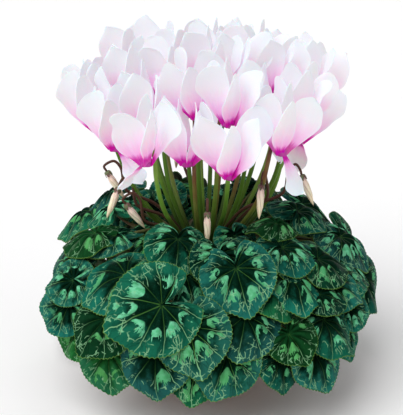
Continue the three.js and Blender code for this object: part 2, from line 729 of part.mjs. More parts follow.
function soilSolid() {
  const { height, base, top, rimDrop, wall, floor } = POT;
  const ledge = height - rimDrop;
  const inside = (z) => mix(base - wall, top - wall + 0.6, (z - floor) / (ledge - floor)) - GAP;
  const bulk = turned(
    [
      [0, floor + GAP], [inside(floor + GAP), floor + GAP], [inside(ledge), ledge],
      [inside(ledge) + 0.6, SOIL.top], [0, SOIL.top + SOIL.crown],
    ],
    POT.sides,
  );
  return bulk.subtract(turned(tuberProfile(GAP), TUBER.sides));
}

// The flower stalks' common foot in the top of the tuber.
function crownSolid(margin) {
  const radius = CROWN.radius + margin;
  const low = TUBER.top - CROWN.height / 2 - margin;
  const high = TUBER.top + CROWN.height / 2;
  return turned([[0, low], [radius, low], [radius, high], [0, high]], 8);
}

// Assembly
const group = new THREE.Group();
function addNode(name, solid, kind) {
  const [colour, roughness] = COLOURS[kind];
  const material = new THREE.MeshStandardMaterial({ color: colour, roughness, metalness: 0 });
  const mesh = new THREE.Mesh(geometryOf(solid), material);
  mesh.name = name;
  group.add(mesh);
}
const number = (i) => String(i + 1).padStart(2, "0");

const leaves = settleLeaves(allLeaves());
const leafSheets = leaves.map(laminaSheet);
const blooms = settleBlooms(BLOOMS.map((bloom, i) => bloomFrame(...bloom, i)));
const buds = BUDS.map(budFrame);
const petalSheets = blooms.map(sheetsOf);
// The ways of all the flower stalks, clear of the petals, the leaves and the other sheets that are given.
const stalksOffSheets = (sheets) => [
  ...blooms.map((bloom, i) => {
    const others = petalSheets.filter((_, j) => j !== i).flat();
    return stalkWay((bow) => bloomStalkPoints(bloom, bow), [...others, ...leafSheets, ...sheets]);
  }),
  ...buds.map((bud) =>
    stalkWay((bow) => budStalkPoints(bud, bow), [...petalSheets.flat(), ...leafSheets, ...sheets]),
  ),
];

// Crossed ribbons along a stem, for other stems to keep off.
const ribbonsOf = (points, radius) =>
  points.slice(1).map((q, k) => {
    const p = points[k];
    const across = q.clone().sub(p).cross(V(p.x, p.y, 0)).setLength(radius + 0.5);
    const deep = q.clone().sub(p).cross(across).setLength(radius + 0.5);
    const corners = [across, deep].flatMap((wide) => [
      p.clone().sub(wide), p.clone().add(wide), q.clone().add(wide), q.clone().sub(wide),
    ]);
    return sheetOf(corners, [[0, 1, 2], [0, 2, 3], [4, 5, 6], [4, 6, 7]]);
  });

// The pot's side up to its rim, which the leaf stalks pass over.
const rimPoints = [0, POT.height + 2].flatMap((z) =>
  Array.from({ length: POT.sides }, (_, i) => {
    const a = (i * 2 * PI) / POT.sides;
    return V(POT.rim * cos(a), POT.rim * sin(a), z);
  }),
);
const rimFaces = Array.from({ length: POT.sides }, (_, i) => {
  const next = (i + 1) % POT.sides;
  return [[i, next, next + POT.sides], [i, next + POT.sides, i + POT.sides]];
}).flat();
const hurdles = [
  ...stalksOffSheets([]).flatMap((points) => ribbonsOf(points.slice(0, 5), STALK.radius)),
  sheetOf(rimPoints, rimFaces),
];

// Leaves side by side share a root, a short ridge on the tuber from which the higher leaves rise nearer
// to the middle.
const SPRAYS = 20;
const order = [...leaves].sort((a, b) => atan2(a.base.x, -a.base.y) - atan2(b.base.x, -b.base.y));
const sprays = Array.from({ length: SPRAYS }, (_, s) => {
  const first = Math.round((s * order.length) / SPRAYS);
  const set = order.slice(first, Math.round(((s + 1) * order.length) / SPRAYS));
  set.sort((a, b) => b.base.z - a.base.z);
  const turn = rad(((s + 0.5) * 360) / SPRAYS - 180);
  const out = V(sin(turn), -cos(turn), 0);
  const roots = set.map((_, i) => out.clone().multiplyScalar(ROOT.first + ROOT.step * i).setZ(TUBER.top));
  const last = roots[roots.length - 1];
  const ridge = (margin) =>
    stem(
      [roots[0], last].map((p, i) => p.clone().addScaledVector(out, (i ? 1 : -1) * (ROOT.radius + margin))),
      ROOT.radius + margin,
      4,
    );
  const stems = set.map((leaf, i) => {
    const others = leafSheets.filter((_, j) => leaves[j] !== leaf);
    return petioleWay(leaf, roots[i].clone().add(V(0, 0, ROOT.lift)), [...others, ...hurdles]);
  });
  const solid = union([
    ridge(0),
    ...set.map(laminaSolid),
    ...stems.map((points) => stem(points, PETIOLE.radius, PETIOLE.sides)),
  ]);
  return { set, stems, solid, socket: ridge(GAP) };
});

// Joins solids that cross, in one list, until every two are clear of each other.
function joinCrossing(solids) {
  const groups = solids.map((solid) => [solid]);
  const shapes = [...solids];
  for (let i = 0; i < shapes.length; i++) {
    for (let j = i + 1; j < shapes.length; j++) {
      if (shapes[i].intersect(shapes[j]).volume() > 1e-4) {
        shapes[i] = shapes[i].add(shapes[j]);
        groups[i].push(...groups[j]);
        shapes.splice(j, 1);
        groups.splice(j, 1);
        j = i;
      }
    }
  }
  return shapes;
}

// The flower stalks again, now off the leaf stalks too.
const leafStalks = sprays.flatMap(({ stems }) =>
  stems.flatMap((points) => ribbonsOf(points, PETIOLE.radius)),
);
const flowerStalks = stalksOffSheets(leafStalks);
const stalks = union([
  crownSolid(0),
  ...flowerStalks.map((points, i) =>
    stem(points, STALK.radius * (i < blooms.length ? 1 : 0.85), STALK.sides),
  ),
  ...blooms.map((bloom) => calyxSolid(localPoint(bloom, 0, 0, NOSE.height + 3.2), bloom.up, bloom.size)),
  ...buds.map(({ neck, point }) =>
    calyxSolid(neck.clone().addScaledVector(point, -2), point.clone().negate(), 0.8),
  ),
]);
const sockets = union([crownSolid(GAP), ...sprays.map(({ socket }) => socket)]);

addNode("pot", potSolid(), "pot");
addNode("soil", soilSolid(), "soil");
addNode("tuber", turned(tuberProfile(0), TUBER.sides).subtract(sockets), "tuber");
joinCrossing(sprays.map(({ solid }) => solid)).forEach((solid, i) => {
  addNode("leaf_spray_" + number(i), solid, "leaf");
});
addNode("flower_stalks", stalks, "stalk");
joinCrossing(blooms.map(bloomSolid)).forEach((solid, i) => {
  addNode("bloom_" + number(i), solid, "petal");
});
buds.forEach((bud, i) => addNode("bud_" + number(i), budSolid(bud), "bud"));

export default group;
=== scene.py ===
"""Dresses the potted cyclamen: leaves, flowers, buds, stalks, pot and the studio round them."""

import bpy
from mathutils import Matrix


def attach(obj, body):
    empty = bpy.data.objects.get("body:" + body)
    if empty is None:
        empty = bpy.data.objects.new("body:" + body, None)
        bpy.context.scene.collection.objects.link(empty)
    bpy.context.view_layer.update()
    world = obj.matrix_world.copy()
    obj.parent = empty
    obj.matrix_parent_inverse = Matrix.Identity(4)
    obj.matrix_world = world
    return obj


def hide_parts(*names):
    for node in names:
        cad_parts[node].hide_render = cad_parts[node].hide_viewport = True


bl_info = {
    "name": "Potted Cyclamen",
    "version": (1, 0, 0),
    "blender": (4, 5, 0),
    "location": "View3D > Sidebar > Cyclamen",
    "description": "Builds the leaves, flowers, buds, pot and studio of a potted cyclamen",
    "category": "Add Mesh",
}

import functools
import itertools
import math

import bpy
import numpy as np
from bpy.props import FloatProperty, FloatVectorProperty, IntProperty, PointerProperty

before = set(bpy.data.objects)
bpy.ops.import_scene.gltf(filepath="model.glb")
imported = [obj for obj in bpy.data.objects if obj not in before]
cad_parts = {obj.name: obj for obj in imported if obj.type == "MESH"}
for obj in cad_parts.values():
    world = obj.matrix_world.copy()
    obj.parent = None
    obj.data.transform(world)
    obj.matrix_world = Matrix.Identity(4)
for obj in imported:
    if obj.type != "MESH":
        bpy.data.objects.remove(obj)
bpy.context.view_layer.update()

MM = 0.001

# Sizes that the solids are built to, in millimetres
POT = {"height": 124, "base": 49, "top": 66, "rim": 71, "drop": 17, "wall": 2.2, "floor": 3, "sides": 24}
DRAIN = {"holes": 6, "radius": 4, "ring": 30}
SOIL = {"top": 110, "crown": 4}
# Waves that make up the soil's crumbs: how quick they are in x and in y, and their share of the height
CRUMBS = ((0.5, 0.31, 0.5), (1.1, 0.83, 0.3), (2.3, 2.9, 0.35), (3.7, 3.1, 0.25))
TUBER = {"radius": 34, "base": 92, "top": 122}
DOME = {"radius": 168, "rise": 105, "centre": 78, "power": 0.5}
LEAF = {"bend": 150, "clear": 4.6, "rounds": 110, "near": 0.68}
PETIOLE = {"radius": 1.5, "steps": 2, "clear": 2.1, "entry": 0.13}
ROOT = {"first": 18.5, "step": 4, "radius": 2.2, "lift": 1.4}
STALK = {"radius": 1.8, "foot": 0.12, "lift": 3.5, "clear": 3.4}
PETAL = {"claw": 2.2, "length": 61, "half": 17, "grow": 0.9}
NOSE_HEIGHT = 10.5
BUD_LENGTH = 27
# The knobbly foot that the flower stalks share
CROWN = {"radius": 15, "middle": 121.5, "flatness": 0.32}
# From a bloom's nose up to its middle, and how far apart the middles of blooms that touch can be
HEAD = 36
APART = 75
# How far a bloom may be seen to shift as the blooms settle, and the rounds that they have for it
SHIFT = 4
BLOOM_ROUNDS = 80
# The space that the flower stalks fill: radius on the tuber, widening, and flatness front to back
SHEAF = {"radius": 22, "widening": 0.68, "flatness": 1.4}
# How far the line of sight falls in each millimetre
VIEW = 0.364
SPRAYS = 20

# A blade covers so many degrees round its notch, with a main vein every 38 of them
SWEEP = 346
RIBS = SWEEP / 38

# Leaves of the front half as seen from the front: x and height of the notch, turn of the tip, width
FRONT_LEAVES = [
    (-39, 84, -57, 86), (-26, 147, 14, 62), (13, 134, 0, 55), (72, 141, 60, 60), (78, 58, 17, 50),
    (-93, 72, -22, 66), (109, 131, 57, 60), (117, 71, 16, 66), (28, 119, 5, 70), (-74, 115, -51, 76),
    (-15, 62, 12, 72), (38, 171, -45, 48), (85, 119, -15, 62), (-84, 181, -62, 58), (-133, 83, -67, 62),
    (95, 178, 60, 62), (-47, 38, 5, 68), (20, 36, -20, 66), (-128, 106, -54, 50), (-87, 161, -40, 60),
    (140, 113, 43, 48), (107, 36, 10, 62), (-132, 128, -71, 54), (75, 30, 0, 52), (111, 97, 49, 46),
    (40, 79, -22, 68), (-108, 154, -45, 60), (53, 150, -30, 48), (147, 81, 52, 48), (-95, 36, 9, 66),
    (-55, 153, -17, 46), (78, 134, 5, 44), (-138, 113, -56, 52), (-18, 124, 15, 60), (145, 50, 0, 46),
    (-128, 55, -30, 56), (150, 121, 24, 46), (-10, 22, -8, 58), (70, 112, -5, 60), (-50, 112, 20, 50),
    (128, 108, 30, 54), (100, 84, 15, 56), (-47, 172, -25, 44), (20, 168, 12, 42), (70, 166, 25, 46),
]
# Rings of leaves behind: angle up the dome, how many would go all round, and width
BACK_RINGS = [(75, 7, 54), (61, 9, 62), (45, 10, 67), (28, 11, 69), (11, 10, 72), (-5, 10, 70)]
# The azimuths that these rings run between, and how far their leaves bank at the sides, in degrees
BACK = (94, 266)
LEAN = 26
# Young leaves that stand up behind the stalks
UPRIGHT = {"azimuths": (138, 162, 187, 212, 234), "angle": 80, "inset": 20, "lift": 52, "width": 44}
# Blooms: x, how far to the front, height of the nose, and which petal hangs
BLOOMS = [
    (-99, 8, 259, -1), (-50, 54, 241, 1), (-18, 48, 242, -1), (20, 70, 237, -1), (67, 46, 251, 2),
    (90, 6, 246, 3), (-61, -8, 286, -1), (-32, 0, 291, -1), (7, 2, 296, -1), (20, 30, 272, -1),
    (-23, -40, 297, -1), (100, -30, 276, -1), (64, -8, 292, -1), (52, 30, 268, 3), (-65, -36, 301, -1),
    (-12, 26, 276, -1), (13, -48, 295, -1), (50, -50, 291, -1), (-96, -30, 266, -1), (-42, -80, 266, 2),
    (32, -84, 264, 1), (-45, 32, 268, -1), (-82, 32, 250, 4), (74, -64, 281, -1), (32, -14, 290, -1),
    (84, 28, 272, -1),
]
PETAL_TURNS = [47, 111, 175, 239, 303]
# Buds: x, how far to the front, height of the neck, azimuth of the nod, and the swing of the tip
BUDS = [
    (-95, 25, 225, -90, -0.6), (-84, 36, 212, -80, 0.4), (-76, 46, 199, -75, -0.7),
    (2, 78, 202, 0, 0), (53, 68, 226, -20, 0.2), (94, 30, 223, 80, 0.4), (-28, -66, 228, 200, 0.2),
]
# Young leaves of the front half, which are a brighter green
BRIGHT_LEAVES = (4, 26, 11)

# The studio, in metres: the floor's side, and the place that the camera looks at
FLOOR_SIDE = 50
AIM = (-0.0035, 0, 0.1795)
# Lamps: name, place, how wide the light is in degrees, and strength against the key light
LAMPS = (
    ("key light", (-0.9, -0.85, 1.8), 60, 1.0),
    ("fill light", (1.3, -1.0, 0.9), 70, 0.2),
    ("back light", (0.3, 1.4, 1.3), 50, 0.2),
)

# Points nearer to each other than this are merged, in metres
MERGE = 0.00002


# Numbers and vectors
def draw(a, b):
    """A repeatable draw between 0 and 1 for a pair of numbers."""
    v = math.sin(a * 12.9898 + b * 78.233) * 43758.5453
    return v - math.floor(v)


def spread(a, b, size):
    """A repeatable draw between minus and plus a size."""
    return (draw(a, b) * 2 - 1) * size


def phase(a, b):
    """A repeatable phase for a wave, in radians."""
    return 6.28 * draw(a, b)


def mix(a, b, u):
    return a + (b - a) * u


def smooth(u):
    """Rises gently from 0 to 1, and stays at 0 before and at 1 after that."""
    c = np.clip(u, 0, 1)
    return c * c * (3 - 2 * c)


def vec(x, y, z):
    return np.array((x, y, z), float)


def unit(v):
    return v / math.sqrt(v @ v)


def length(v):
    return math.sqrt(v @ v)


def cross(a, b):
    return np.array((
        a[1] * b[2] - a[2] * b[1], a[2] * b[0] - a[0] * b[2], a[0] * b[1] - a[1] * b[0],
    ))


def rotated(v, axis, angle):
    """A vector turned about an axis by an angle in radians."""
    c, s = math.cos(angle), math.sin(angle)
    return v * c + cross(axis, v) * s + axis * (axis @ v) * (1 - c)


def around(way, hint, turn):
    """Directions at the given turns round a way. The hint fixes where they start."""
    side = unit(cross(way, hint))
    other = cross(way, side)
    return np.cos(turn)[:, None] * side + np.sin(turn)[:, None] * other


# Leaves and how they lie
def dome_at(azimuth, angle):
    """A place on the dome of leaves, and there the ways out of it, down it and to the right."""
    a, t = math.radians(azimuth), math.radians(angle)
    r = DOME["radius"] * math.cos(t) ** DOME["power"]
    dr = -DOME["radius"] * DOME["power"] * math.cos(t) ** (DOME["power"] - 1) * math.sin(t)
    dz = DOME["rise"] * math.cos(t)
    out = vec(math.sin(a), -math.cos(a), 0)
    down = unit(out * -dr + vec(0, 0, -dz))
    normal = unit(out * dz + vec(0, 0, -dr))
    point = out * r + vec(0, 0, DOME["centre"] + DOME["rise"] * math.sin(t))
    return point, normal, down, vec(math.cos(a), math.sin(a), 0)


def edge_at(turn):
    """How far a leaf's edge lies from the notch, as a share of its width."""
    back = math.pi - np.abs(turn)
    point = 0.055 * np.exp(-((turn / 0.24) ** 2))
    return (0.5 + 0.08 * np.cos(turn) + point) * np.minimum(1, back / 0.3) ** 0.5


class Leaf:
    """A leaf's frame at its notch, which settling moves as a stiff plate."""

    TURNS = np.radians(np.arange(13) * 28.0 - 168)

    def __init__(self, azimuth, angle, roll, width, inset, index, stand=0, lean=0):
        point, outward, down, right = dome_at(azimuth, angle)
        nod = smooth((angle - 35) / 35) * mix(0.35, 1, abs(math.cos(math.radians(azimuth))))
        lift = math.radians((stand or mix(14, -24, nod)) + spread(index, 1, 8))
        bank = math.radians(spread(index, 7, 12) + lean * math.sin(math.radians(azimuth)))
        turn = math.radians(roll)
        tip = down * math.cos(turn) + right * math.sin(turn)
        along = tip * math.cos(lift) + outward * math.sin(lift)
        normal = rotated(outward * math.cos(lift) - tip * math.sin(lift), along, bank)
        self.index, self.width = index, width
        self.axes = np.array((cross(normal, along), along, normal))
        self.base = point - outward * inset
        turns = np.repeat(self.TURNS, 2)
        shares = np.tile((0.5, 0.98), len(self.TURNS))
        self.tests = np.vstack((np.zeros((1, 3)), self.local(turns, shares)))

    def relief(self, turn, reach):
        """How far the surface stands off the leaf's plane."""
        rim = reach / (0.5 * self.width)
        wave = 0.022 * np.cos(3 * turn + phase(self.index, 6))
        wave = wave + 0.016 * np.cos(5 * turn + self.index)
        return -(reach * reach) / (2 * LEAF["bend"]) + self.width * wave * rim * rim

    def local(self, turn, share):
        reach = edge_at(turn) * self.width * share
        return np.stack((reach * np.sin(turn), reach * np.cos(turn), self.relief(turn, reach)), -1)

    def place(self, local):
        return self.base + local @ self.axes

    def point(self, turn, share):
        return self.place(self.local(np.float64(turn), share))

    def height_over(self, points):
        """Heights of points over the surface, and which of them are over the leaf."""
        off = (points - self.base) @ self.axes.T
        x, y = off[:, 0], off[:, 1]
        turn = np.arctan2(x, y)
        reach = np.hypot(x, y)
        return off[:, 2] - self.relief(turn, reach), reach <= edge_at(turn) * self.width * 1.03

    def nudge(self, point, step):
        """Moves the plate so that one of its points goes by the given step."""
        centre = self.base + self.axes[1] * (0.15 * self.width)
        arm = point - centre
        inertia = 0.1 * self.width * self.width
        share = 1 / (1 + (arm @ arm) / inertia)
        spin = cross(arm, step) * (share / inertia)
        angle = length(spin)
        if angle > 1e-9:
            axis = spin / angle
            self.axes = np.array([rotated(way, axis, angle) for way in self.axes])
            self.base = rotated(self.base - centre, axis, angle) + centre
        self.base = self.base + step * share


def dome_seen(x, height):
    """The place on the dome's front half that is seen at x and the given height."""
    low, high = -40.0, 88.0
    for _ in range(24):
        angle = (low + high) / 2
        point = dome_at(0, angle)[0]
        front = math.sqrt(max(0, point[1] ** 2 - x**2))
        if point[2] - VIEW * front < height:
            low = angle
        else:
            high = angle
    reach = -dome_at(0, low)[0][1]
    return math.degrees(math.asin(max(-1, min(1, x / reach)))), low


def all_leaves():
    """The leaves as they stand before they settle: in front, in rings behind, and upright ones."""
    leaves = []
    for i, (x, height, roll, width) in enumerate(FRONT_LEAVES):
        azimuth, angle = dome_seen(x, height)
        leaves.append(Leaf(azimuth, angle, roll, width, (12 * i) / len(FRONT_LEAVES), i))
    for ring, (angle, count, width) in enumerate(BACK_RINGS):
        step = 360 / count
        a = BACK[0] + (step / 2 if ring % 2 else 0)
        while a <= BACK[1]:
            i = len(leaves)
            azimuth, slope, roll = a + spread(i, 2, 5), angle + spread(i, 3, 3), spread(i, 4, 26)
            leaves.append(Leaf(azimuth, slope, roll, width + spread(i, 5, 7), 5, i, lean=LEAN))
            a += step
    for azimuth in UPRIGHT["azimuths"]:
        i = len(leaves)
        width, inset, lift = UPRIGHT["width"], UPRIGHT["inset"], UPRIGHT["lift"]
        leaves.append(Leaf(azimuth, UPRIGHT["angle"], spread(i, 4, 20), width, inset, i, lift))
    return leaves


def settle_pair(a, b):
    """Pushes two leaves apart where they cross. Returns whether they moved."""
    tests_b, tests_a = b.place(b.tests), a.place(a.tests)
    d_b, over_b = a.height_over(tests_b)
    d_a, over_a = b.height_over(tests_a)
    if not (over_b.any() or over_a.any()):
        return False
    heights = np.concatenate((np.where(over_b, d_b, np.nan), np.where(over_a, -d_a, np.nan)))
    points = np.concatenate((tests_b, tests_a))
    lowest, highest = int(np.nanargmin(heights)), int(np.nanargmax(heights))
    low, high = heights[lowest], heights[highest]
    covered, covers = bool(over_a[0]), bool(over_b[0])
    clear = LEAF["clear"]
    up = clear - low <= high + clear
    if covered != covers:
        up = covered
    if (low >= clear) if up else (high <= -clear):
        return False
    worst = lowest if up else highest
    push = min(3, clear - low) if up else max(-3, -(high + clear))
    way = (a if worst < len(tests_b) else b).axes[2] * (push * 0.55)
    b.nudge(points[worst], way)
    a.nudge(points[worst], -way)
    return True


def settle_leaves(leaves):
    """A leaf whose notch is covered lies beneath, and all keep out of the flower stalks' way."""
    for _ in range(LEAF["rounds"]):
        moved = False
        for k in range(1, len(leaves)):
            b = leaves[k]
            for j in range(k):
                a = leaves[j]
                if math.dist(a.base, b.base) <= LEAF["near"] * (a.width + b.width):
                    moved = settle_pair(a, b) or moved
        for leaf in leaves:
            for point in leaf.place(leaf.tests):
                off = math.hypot(point[0], SHEAF["flatness"] * point[1])
                room = SHEAF["radius"] + SHEAF["widening"] * (point[2] - TUBER["top"])
                if off < room:
                    leaf.nudge(point, vec(point[0], point[1], 0) * (room / off - 1))
        if not moved:
            break
    return leaves


# Sheets that stems keep off
class Sheets:
    """The triangles of several sheets, and where each sheet's triangles start."""

    def __init__(self, sheets):
        self.starts = np.cumsum([0] + [len(s) for s in sheets[:-1]])
        self.faces = np.concatenate(sheets)
        a, b, c = self.faces[:, 0], self.faces[:, 1], self.faces[:, 2]
        self.normals = np.cross(b - a, c - a)
        self.levels = np.einsum("ij,ij->i", a, self.normals)
        self.pairs = [(np.cross(p, q), p - q) for p, q in ((a, b), (b, c), (c, a))]

    def crossed(self, p, q):
        """Which of the lines from p to q pass through which triangles."""
        way = q - p
        wide = np.cross(way, p)
        sides = (p @ self.normals.T - self.levels) * (q @ self.normals.T - self.levels)
        ab, bc, ca = (way @ m.T + wide @ n.T for m, n in self.pairs)
        return (sides < 0) & (ab * bc > 0) & (ab * ca > 0)


ASIDE = np.vstack((np.zeros(3), *((way, -way) for way in np.eye(3))))


def times_blocked(points, sheets, clear):
    """How often a stem along the points, with its clearance to all sides, passes through sheets."""
    p = (points[:-1, None] + ASIDE * clear).reshape(-1, 3)
    q = (points[1:, None] + ASIDE * clear).reshape(-1, 3)
    hits = np.add.reduceat(sheets.crossed(p, q), sheets.starts, axis=1)
    return int((hits > 0).sum())


def freest(tries, line_at, sheets, clear):
    """The first of the tries whose line is clear of the sheets, or else the one that crosses fewest."""
    best, times = None, math.inf
    for attempt in tries:
        now = times_blocked(line_at(*attempt), sheets, clear)
        if now < times:
            best, times = attempt, now
        if now == 0:
            break
    return best


EDGE_TURNS = np.radians((-168, -128, -84, -40, 0, 40, 84, 128, 168))


def lamina_sheet(leaf):
    """A leaf's blade as a fan of triangles round its notch."""
    edge = leaf.place(leaf.local(EDGE_TURNS, 1.04))
    return np.array([(leaf.base, edge[i + 1], edge[i]) for i in range(len(edge) - 1)])


# Leaf stalks
def bezier(a, b, c, d, count):
    """A curve from a to d that leaves towards b and comes in from c."""
    t = np.linspace(0, 1, count + 1)[:, None]
    return a * (1 - t) ** 3 + b * 3 * t * (1 - t) ** 2 + c * 3 * t**2 * (1 - t) + d * t**3


def petiole_points(leaf, root, lift, share, steep, swing, count):
    """Points of a leaf's stalk, from its root on the tuber to just under the blade."""
    side, along, normal = leaf.axes
    high = smooth((leaf.base[2] - 50) / 130)
    arrive = normal * steep + along * math.sqrt(1 - steep * steep)
    out = unit(leaf.base * (1, 1, 0))
    rise = out * mix(38, 22, high) + vec(0, 0, mix(50, 34, high) + lift) + root
    entry = mix(leaf.base, leaf.point(0, 1), PETIOLE["entry"])
    end = entry - normal * 3.4
    before = end - arrive * (mix(46, 30, high) * share) + side * swing
    return np.vstack((bezier(root, rise, before, end, count), entry - normal * 0.15))


# What a leaf's stalk tries: added lift, length and steepness of its last stretch, and swing aside
PETIOLE_TRIES = list(itertools.product(
    (0, 22, -18), (1, 0.6, 1.5), (0.7, 0.4, 0.1, 0.9), (0, 10, -10, 20, -20, 32, -32),
))


def petiole_way(leaf, root, sheets):
    """The freest way that a leaf's stalk can take, as what petiole_points asks for."""
    line_at = functools.partial(petiole_points, leaf, root, count=PETIOLE["steps"])
    return leaf, root, *freest(PETIOLE_TRIES, line_at, sheets, PETIOLE["clear"])


# Blooms and how they stand
SIGHT = unit(vec(0, -1, VIEW))


class Bloom:
    """A bloom's nose, the way up along its axis, and its turn about it."""

    def __init__(self, x, front, z, hanging, index):
        self.nose = vec(x, -front, z)
        out = vec(x, -front, 0)
        lean = math.radians(0.1 * length(out) + spread(index, 11, 5))
        tilt = unit(out) if out @ out > 1 else vec(0, -1, 0)
        self.up = vec(0, 0, math.cos(lean)) + tilt * math.sin(lean)
        self.turn = math.degrees(math.atan2(front, -x)) + spread(index, 18, 40)
        self.size = 1 + spread(index, 12, 0.07)
        self.index, self.hanging = index, hanging

    def across(self, degrees):
        """The way out from the bloom's axis at a turn about it, and the way on round it."""
        a = math.radians(degrees + self.turn)
        flat = vec(math.cos(a), math.sin(a), 0)
        out = unit(flat - self.up * (flat @ self.up))
        return out, cross(self.up, out)

    def local(self, reach, height):
        """A point so far out from the bloom's axis and so far up along it."""
        return self.nose + self.across(0)[0] * (reach * self.size) + self.up * (height * self.size)

    def middle(self):
        return self.nose + self.up * (HEAD * self.size)


def plain_half(share):
    """The half width of a petal's solid along its length."""
    broad = mix(PETAL["claw"], PETAL["half"], smooth((share - 0.02) / 0.66))
    return broad * (1 - 0.62 * np.maximum(0, (share - 0.66) / 0.34) ** 2)


def fine_half(share):
    """The half width of a fine petal: a broad claw, an oval blade and a blunt point."""
    broad = mix(3.6, 15.6, np.sin(np.clip(share / 0.64, 0, 1) * math.pi / 2) ** 1.7)
    return broad * np.maximum(0.03, 1 - np.maximum(0, (share - 0.58) / 0.42) ** 2.3) ** 0.56


def petal_points(bloom, petal, share, across, grow=0.0, fine=False):
    """Points of a petal, along its length from the mouth and across it from -1 to 1."""
    seed = bloom.index * 7 + petal
    start, roll, half_at = (62, 0.5, fine_half) if fine else (50, 0.2, plain_half)
    out, left = bloom.across(PETAL_TURNS[petal] + spread(seed, 13, 2.5))
    hangs = petal == bloom.hanging
    aim = -42 + spread(seed, 19, 22) if hangs else 72 + spread(seed, 14, 2.5)
    curl = -30 if hangs else 3 + spread(bloom.index, 15, 10)
    twist = math.radians(10 if hangs else 50 + spread(seed, 16, 3))
    span = PETAL["length"] * bloom.size * (0.66 if hangs else 1 + spread(seed, 17, 0.06)) + grow
    if fine:
        span *= 1.04
    if fine and not hangs:
        aim += 3 + spread(seed, 28, 6)
        twist += 0.3
    share = np.asarray(share, float)
    across = np.asarray(across, float)
    # Along the petal: out from the mouth, round the bend and up
    out_part, up_part = np.zeros_like(share), np.zeros_like(share)
    steps = 12
    for i in range(steps):
        u = ((i + 0.5) / steps) * share
        flare = 20 * draw(seed, 25) * smooth((u - 0.5) / 0.5) if fine and not hangs else 0
        climb = np.radians(mix(-50 if hangs else start, aim, smooth(u / roll)) + curl * u - flare)
        out_part = out_part + np.cos(climb) * (span * share) / steps
        up_part = up_part + np.sin(climb) * (span * share) / steps
    spot = bloom.nose + out * 4 + bloom.up * 2.6
    spot = spot + out_part[..., None] * out + up_part[..., None] * bloom.up
    tangent = np.cos(climb)[..., None] * out + np.sin(climb)[..., None] * bloom.up
    # Across it: wound about its own length, narrowed at both ends, and cupped
    face = np.cross(tangent, left)
    wind = twist * mix(0.4, 1, smooth(share / 0.9))
    over = np.cos(wind)[..., None] * left + np.sin(wind)[..., None] * face
    along = share ** (1 + spread(seed, 29, 0.2)) if fine else share
    half = half_at(along) * bloom.size * (0.8 if hangs else 1) + grow
    cup = -0.2 * half * across * across * (1 - 0.5 * share)
    sway = 0
    if fine:
        cup = cup + petal_relief(seed, share, across, hangs)
        sway = spread(seed, 26, 3.0) * share * share
    return spot + (half * across + sway)[..., None] * over + cup[..., None] * face


def petal_relief(seed, share, across, hangs):
    """The fine form of a petal: a waved margin, a folded base and a tip that curls."""
    start = phase(seed, 23) + np.where(across > 0, 1.7, 0)
    wave = 3.1 * np.sin(7 * share + start) + np.sin(19 * share + 2 * start)
    wave = wave * share * np.abs(across) ** 2.5
    fold = 2.4 * np.exp(-((across / 0.22) ** 2)) * smooth(share / 0.15) * smooth((0.9 - share) / 0.5)
    tip = spread(seed, 24, 6.5) * np.maximum(0, share - 0.72) ** 2 / 0.08
    return wave - fold * 0.6 + (0 if hangs else tip)


PETAL_SHARES = np.array((0, 0, 0.38, 0.38, 0.38, 0.78, 0.78, 0.78, 1))
PETAL_ACROSS = np.array((-1, 1, -1, 0, 1, -1, 0, 1, 0))
PETAL_FACES = np.array((
    (0, 1, 3), (0, 3, 2), (1, 4, 3), (2, 3, 6), (2, 6, 5), (3, 4, 7), (3, 7, 6), (5, 6, 8), (6, 7, 8),
))


def petal_sheets(bloom):
    """The five petals as triangles, a little larger than they are."""
    return [
        petal_points(bloom, i, PETAL_SHARES, PETAL_ACROSS, PETAL["grow"])[PETAL_FACES]
        for i in range(len(PETAL_TURNS))
    ]


def stalk_start(point):
    """Where the stalk that ends over a point starts on the tuber."""
    return vec(point[0] * STALK["foot"], point[1] * STALK["foot"], TUBER["top"] + STALK["lift"])


def arched(start, end, shares, bow):
    """A point between two others, its share given for each axis, moved by a bow."""
    return mix(start, end, np.array(shares)) + bow


def bloom_stalk_points(bloom, low=0.0, high=0.0):
    """Points of a bloom's stalk, which hooks over into its nose from above."""
    start, below = stalk_start(bloom.nose), bloom.local(11, -12)
    return np.array((
        start, arched(start, below, (0.46, 0.2, 0.3), low), arched(start, below, (0.84, 0.66, 0.64), high),
        below, bloom.local(10.5, 3), bloom.local(8, 13), bloom.local(0, NOSE_HEIGHT + 4),
    ))


def sheets_cross(a, b):
    """Whether an edge of either set of sheets passes through the other set."""
    for one, two in ((a, b), (b, a)):
        p = one.faces[:, (0, 1, 2)].reshape(-1, 3)
        q = one.faces[:, (1, 2, 0)].reshape(-1, 3)
        if two.crossed(p, q).any():
            return True
    return False


def clear_stalks(blooms, sheets):
    """Moves aside blooms in the way of another's stalk. Returns whether any moved."""
    spots = [sheet.faces.reshape(-1, 3) for sheet in sheets]
    middles = [spot.mean(0) for spot in spots]
    reaches = [np.linalg.norm(spot - middle, axis=1).max() for spot, middle in zip(spots, middles)]
    moved = False
    for k, bloom in enumerate(blooms):
        points = bloom_stalk_points(bloom)[:5]
        for j, other in enumerate(blooms):
            if j == k or not near_line(points, middles[j], reaches[j] + STALK["clear"]):
                continue
            if not times_blocked(points, sheets[j], STALK["clear"]):
                continue
            middle = other.middle()
            share = max(0, min(1, (middle[2] - points[0][2]) / (points[3][2] - points[0][2])))
            way = (middle - mix(points[0], points[3], share)) * (1, 1, 0)
            way = way * (0.5 / length(way))
            other.nose = other.nose + way
            bloom.nose = bloom.nose - way
            moved = True
    return moved


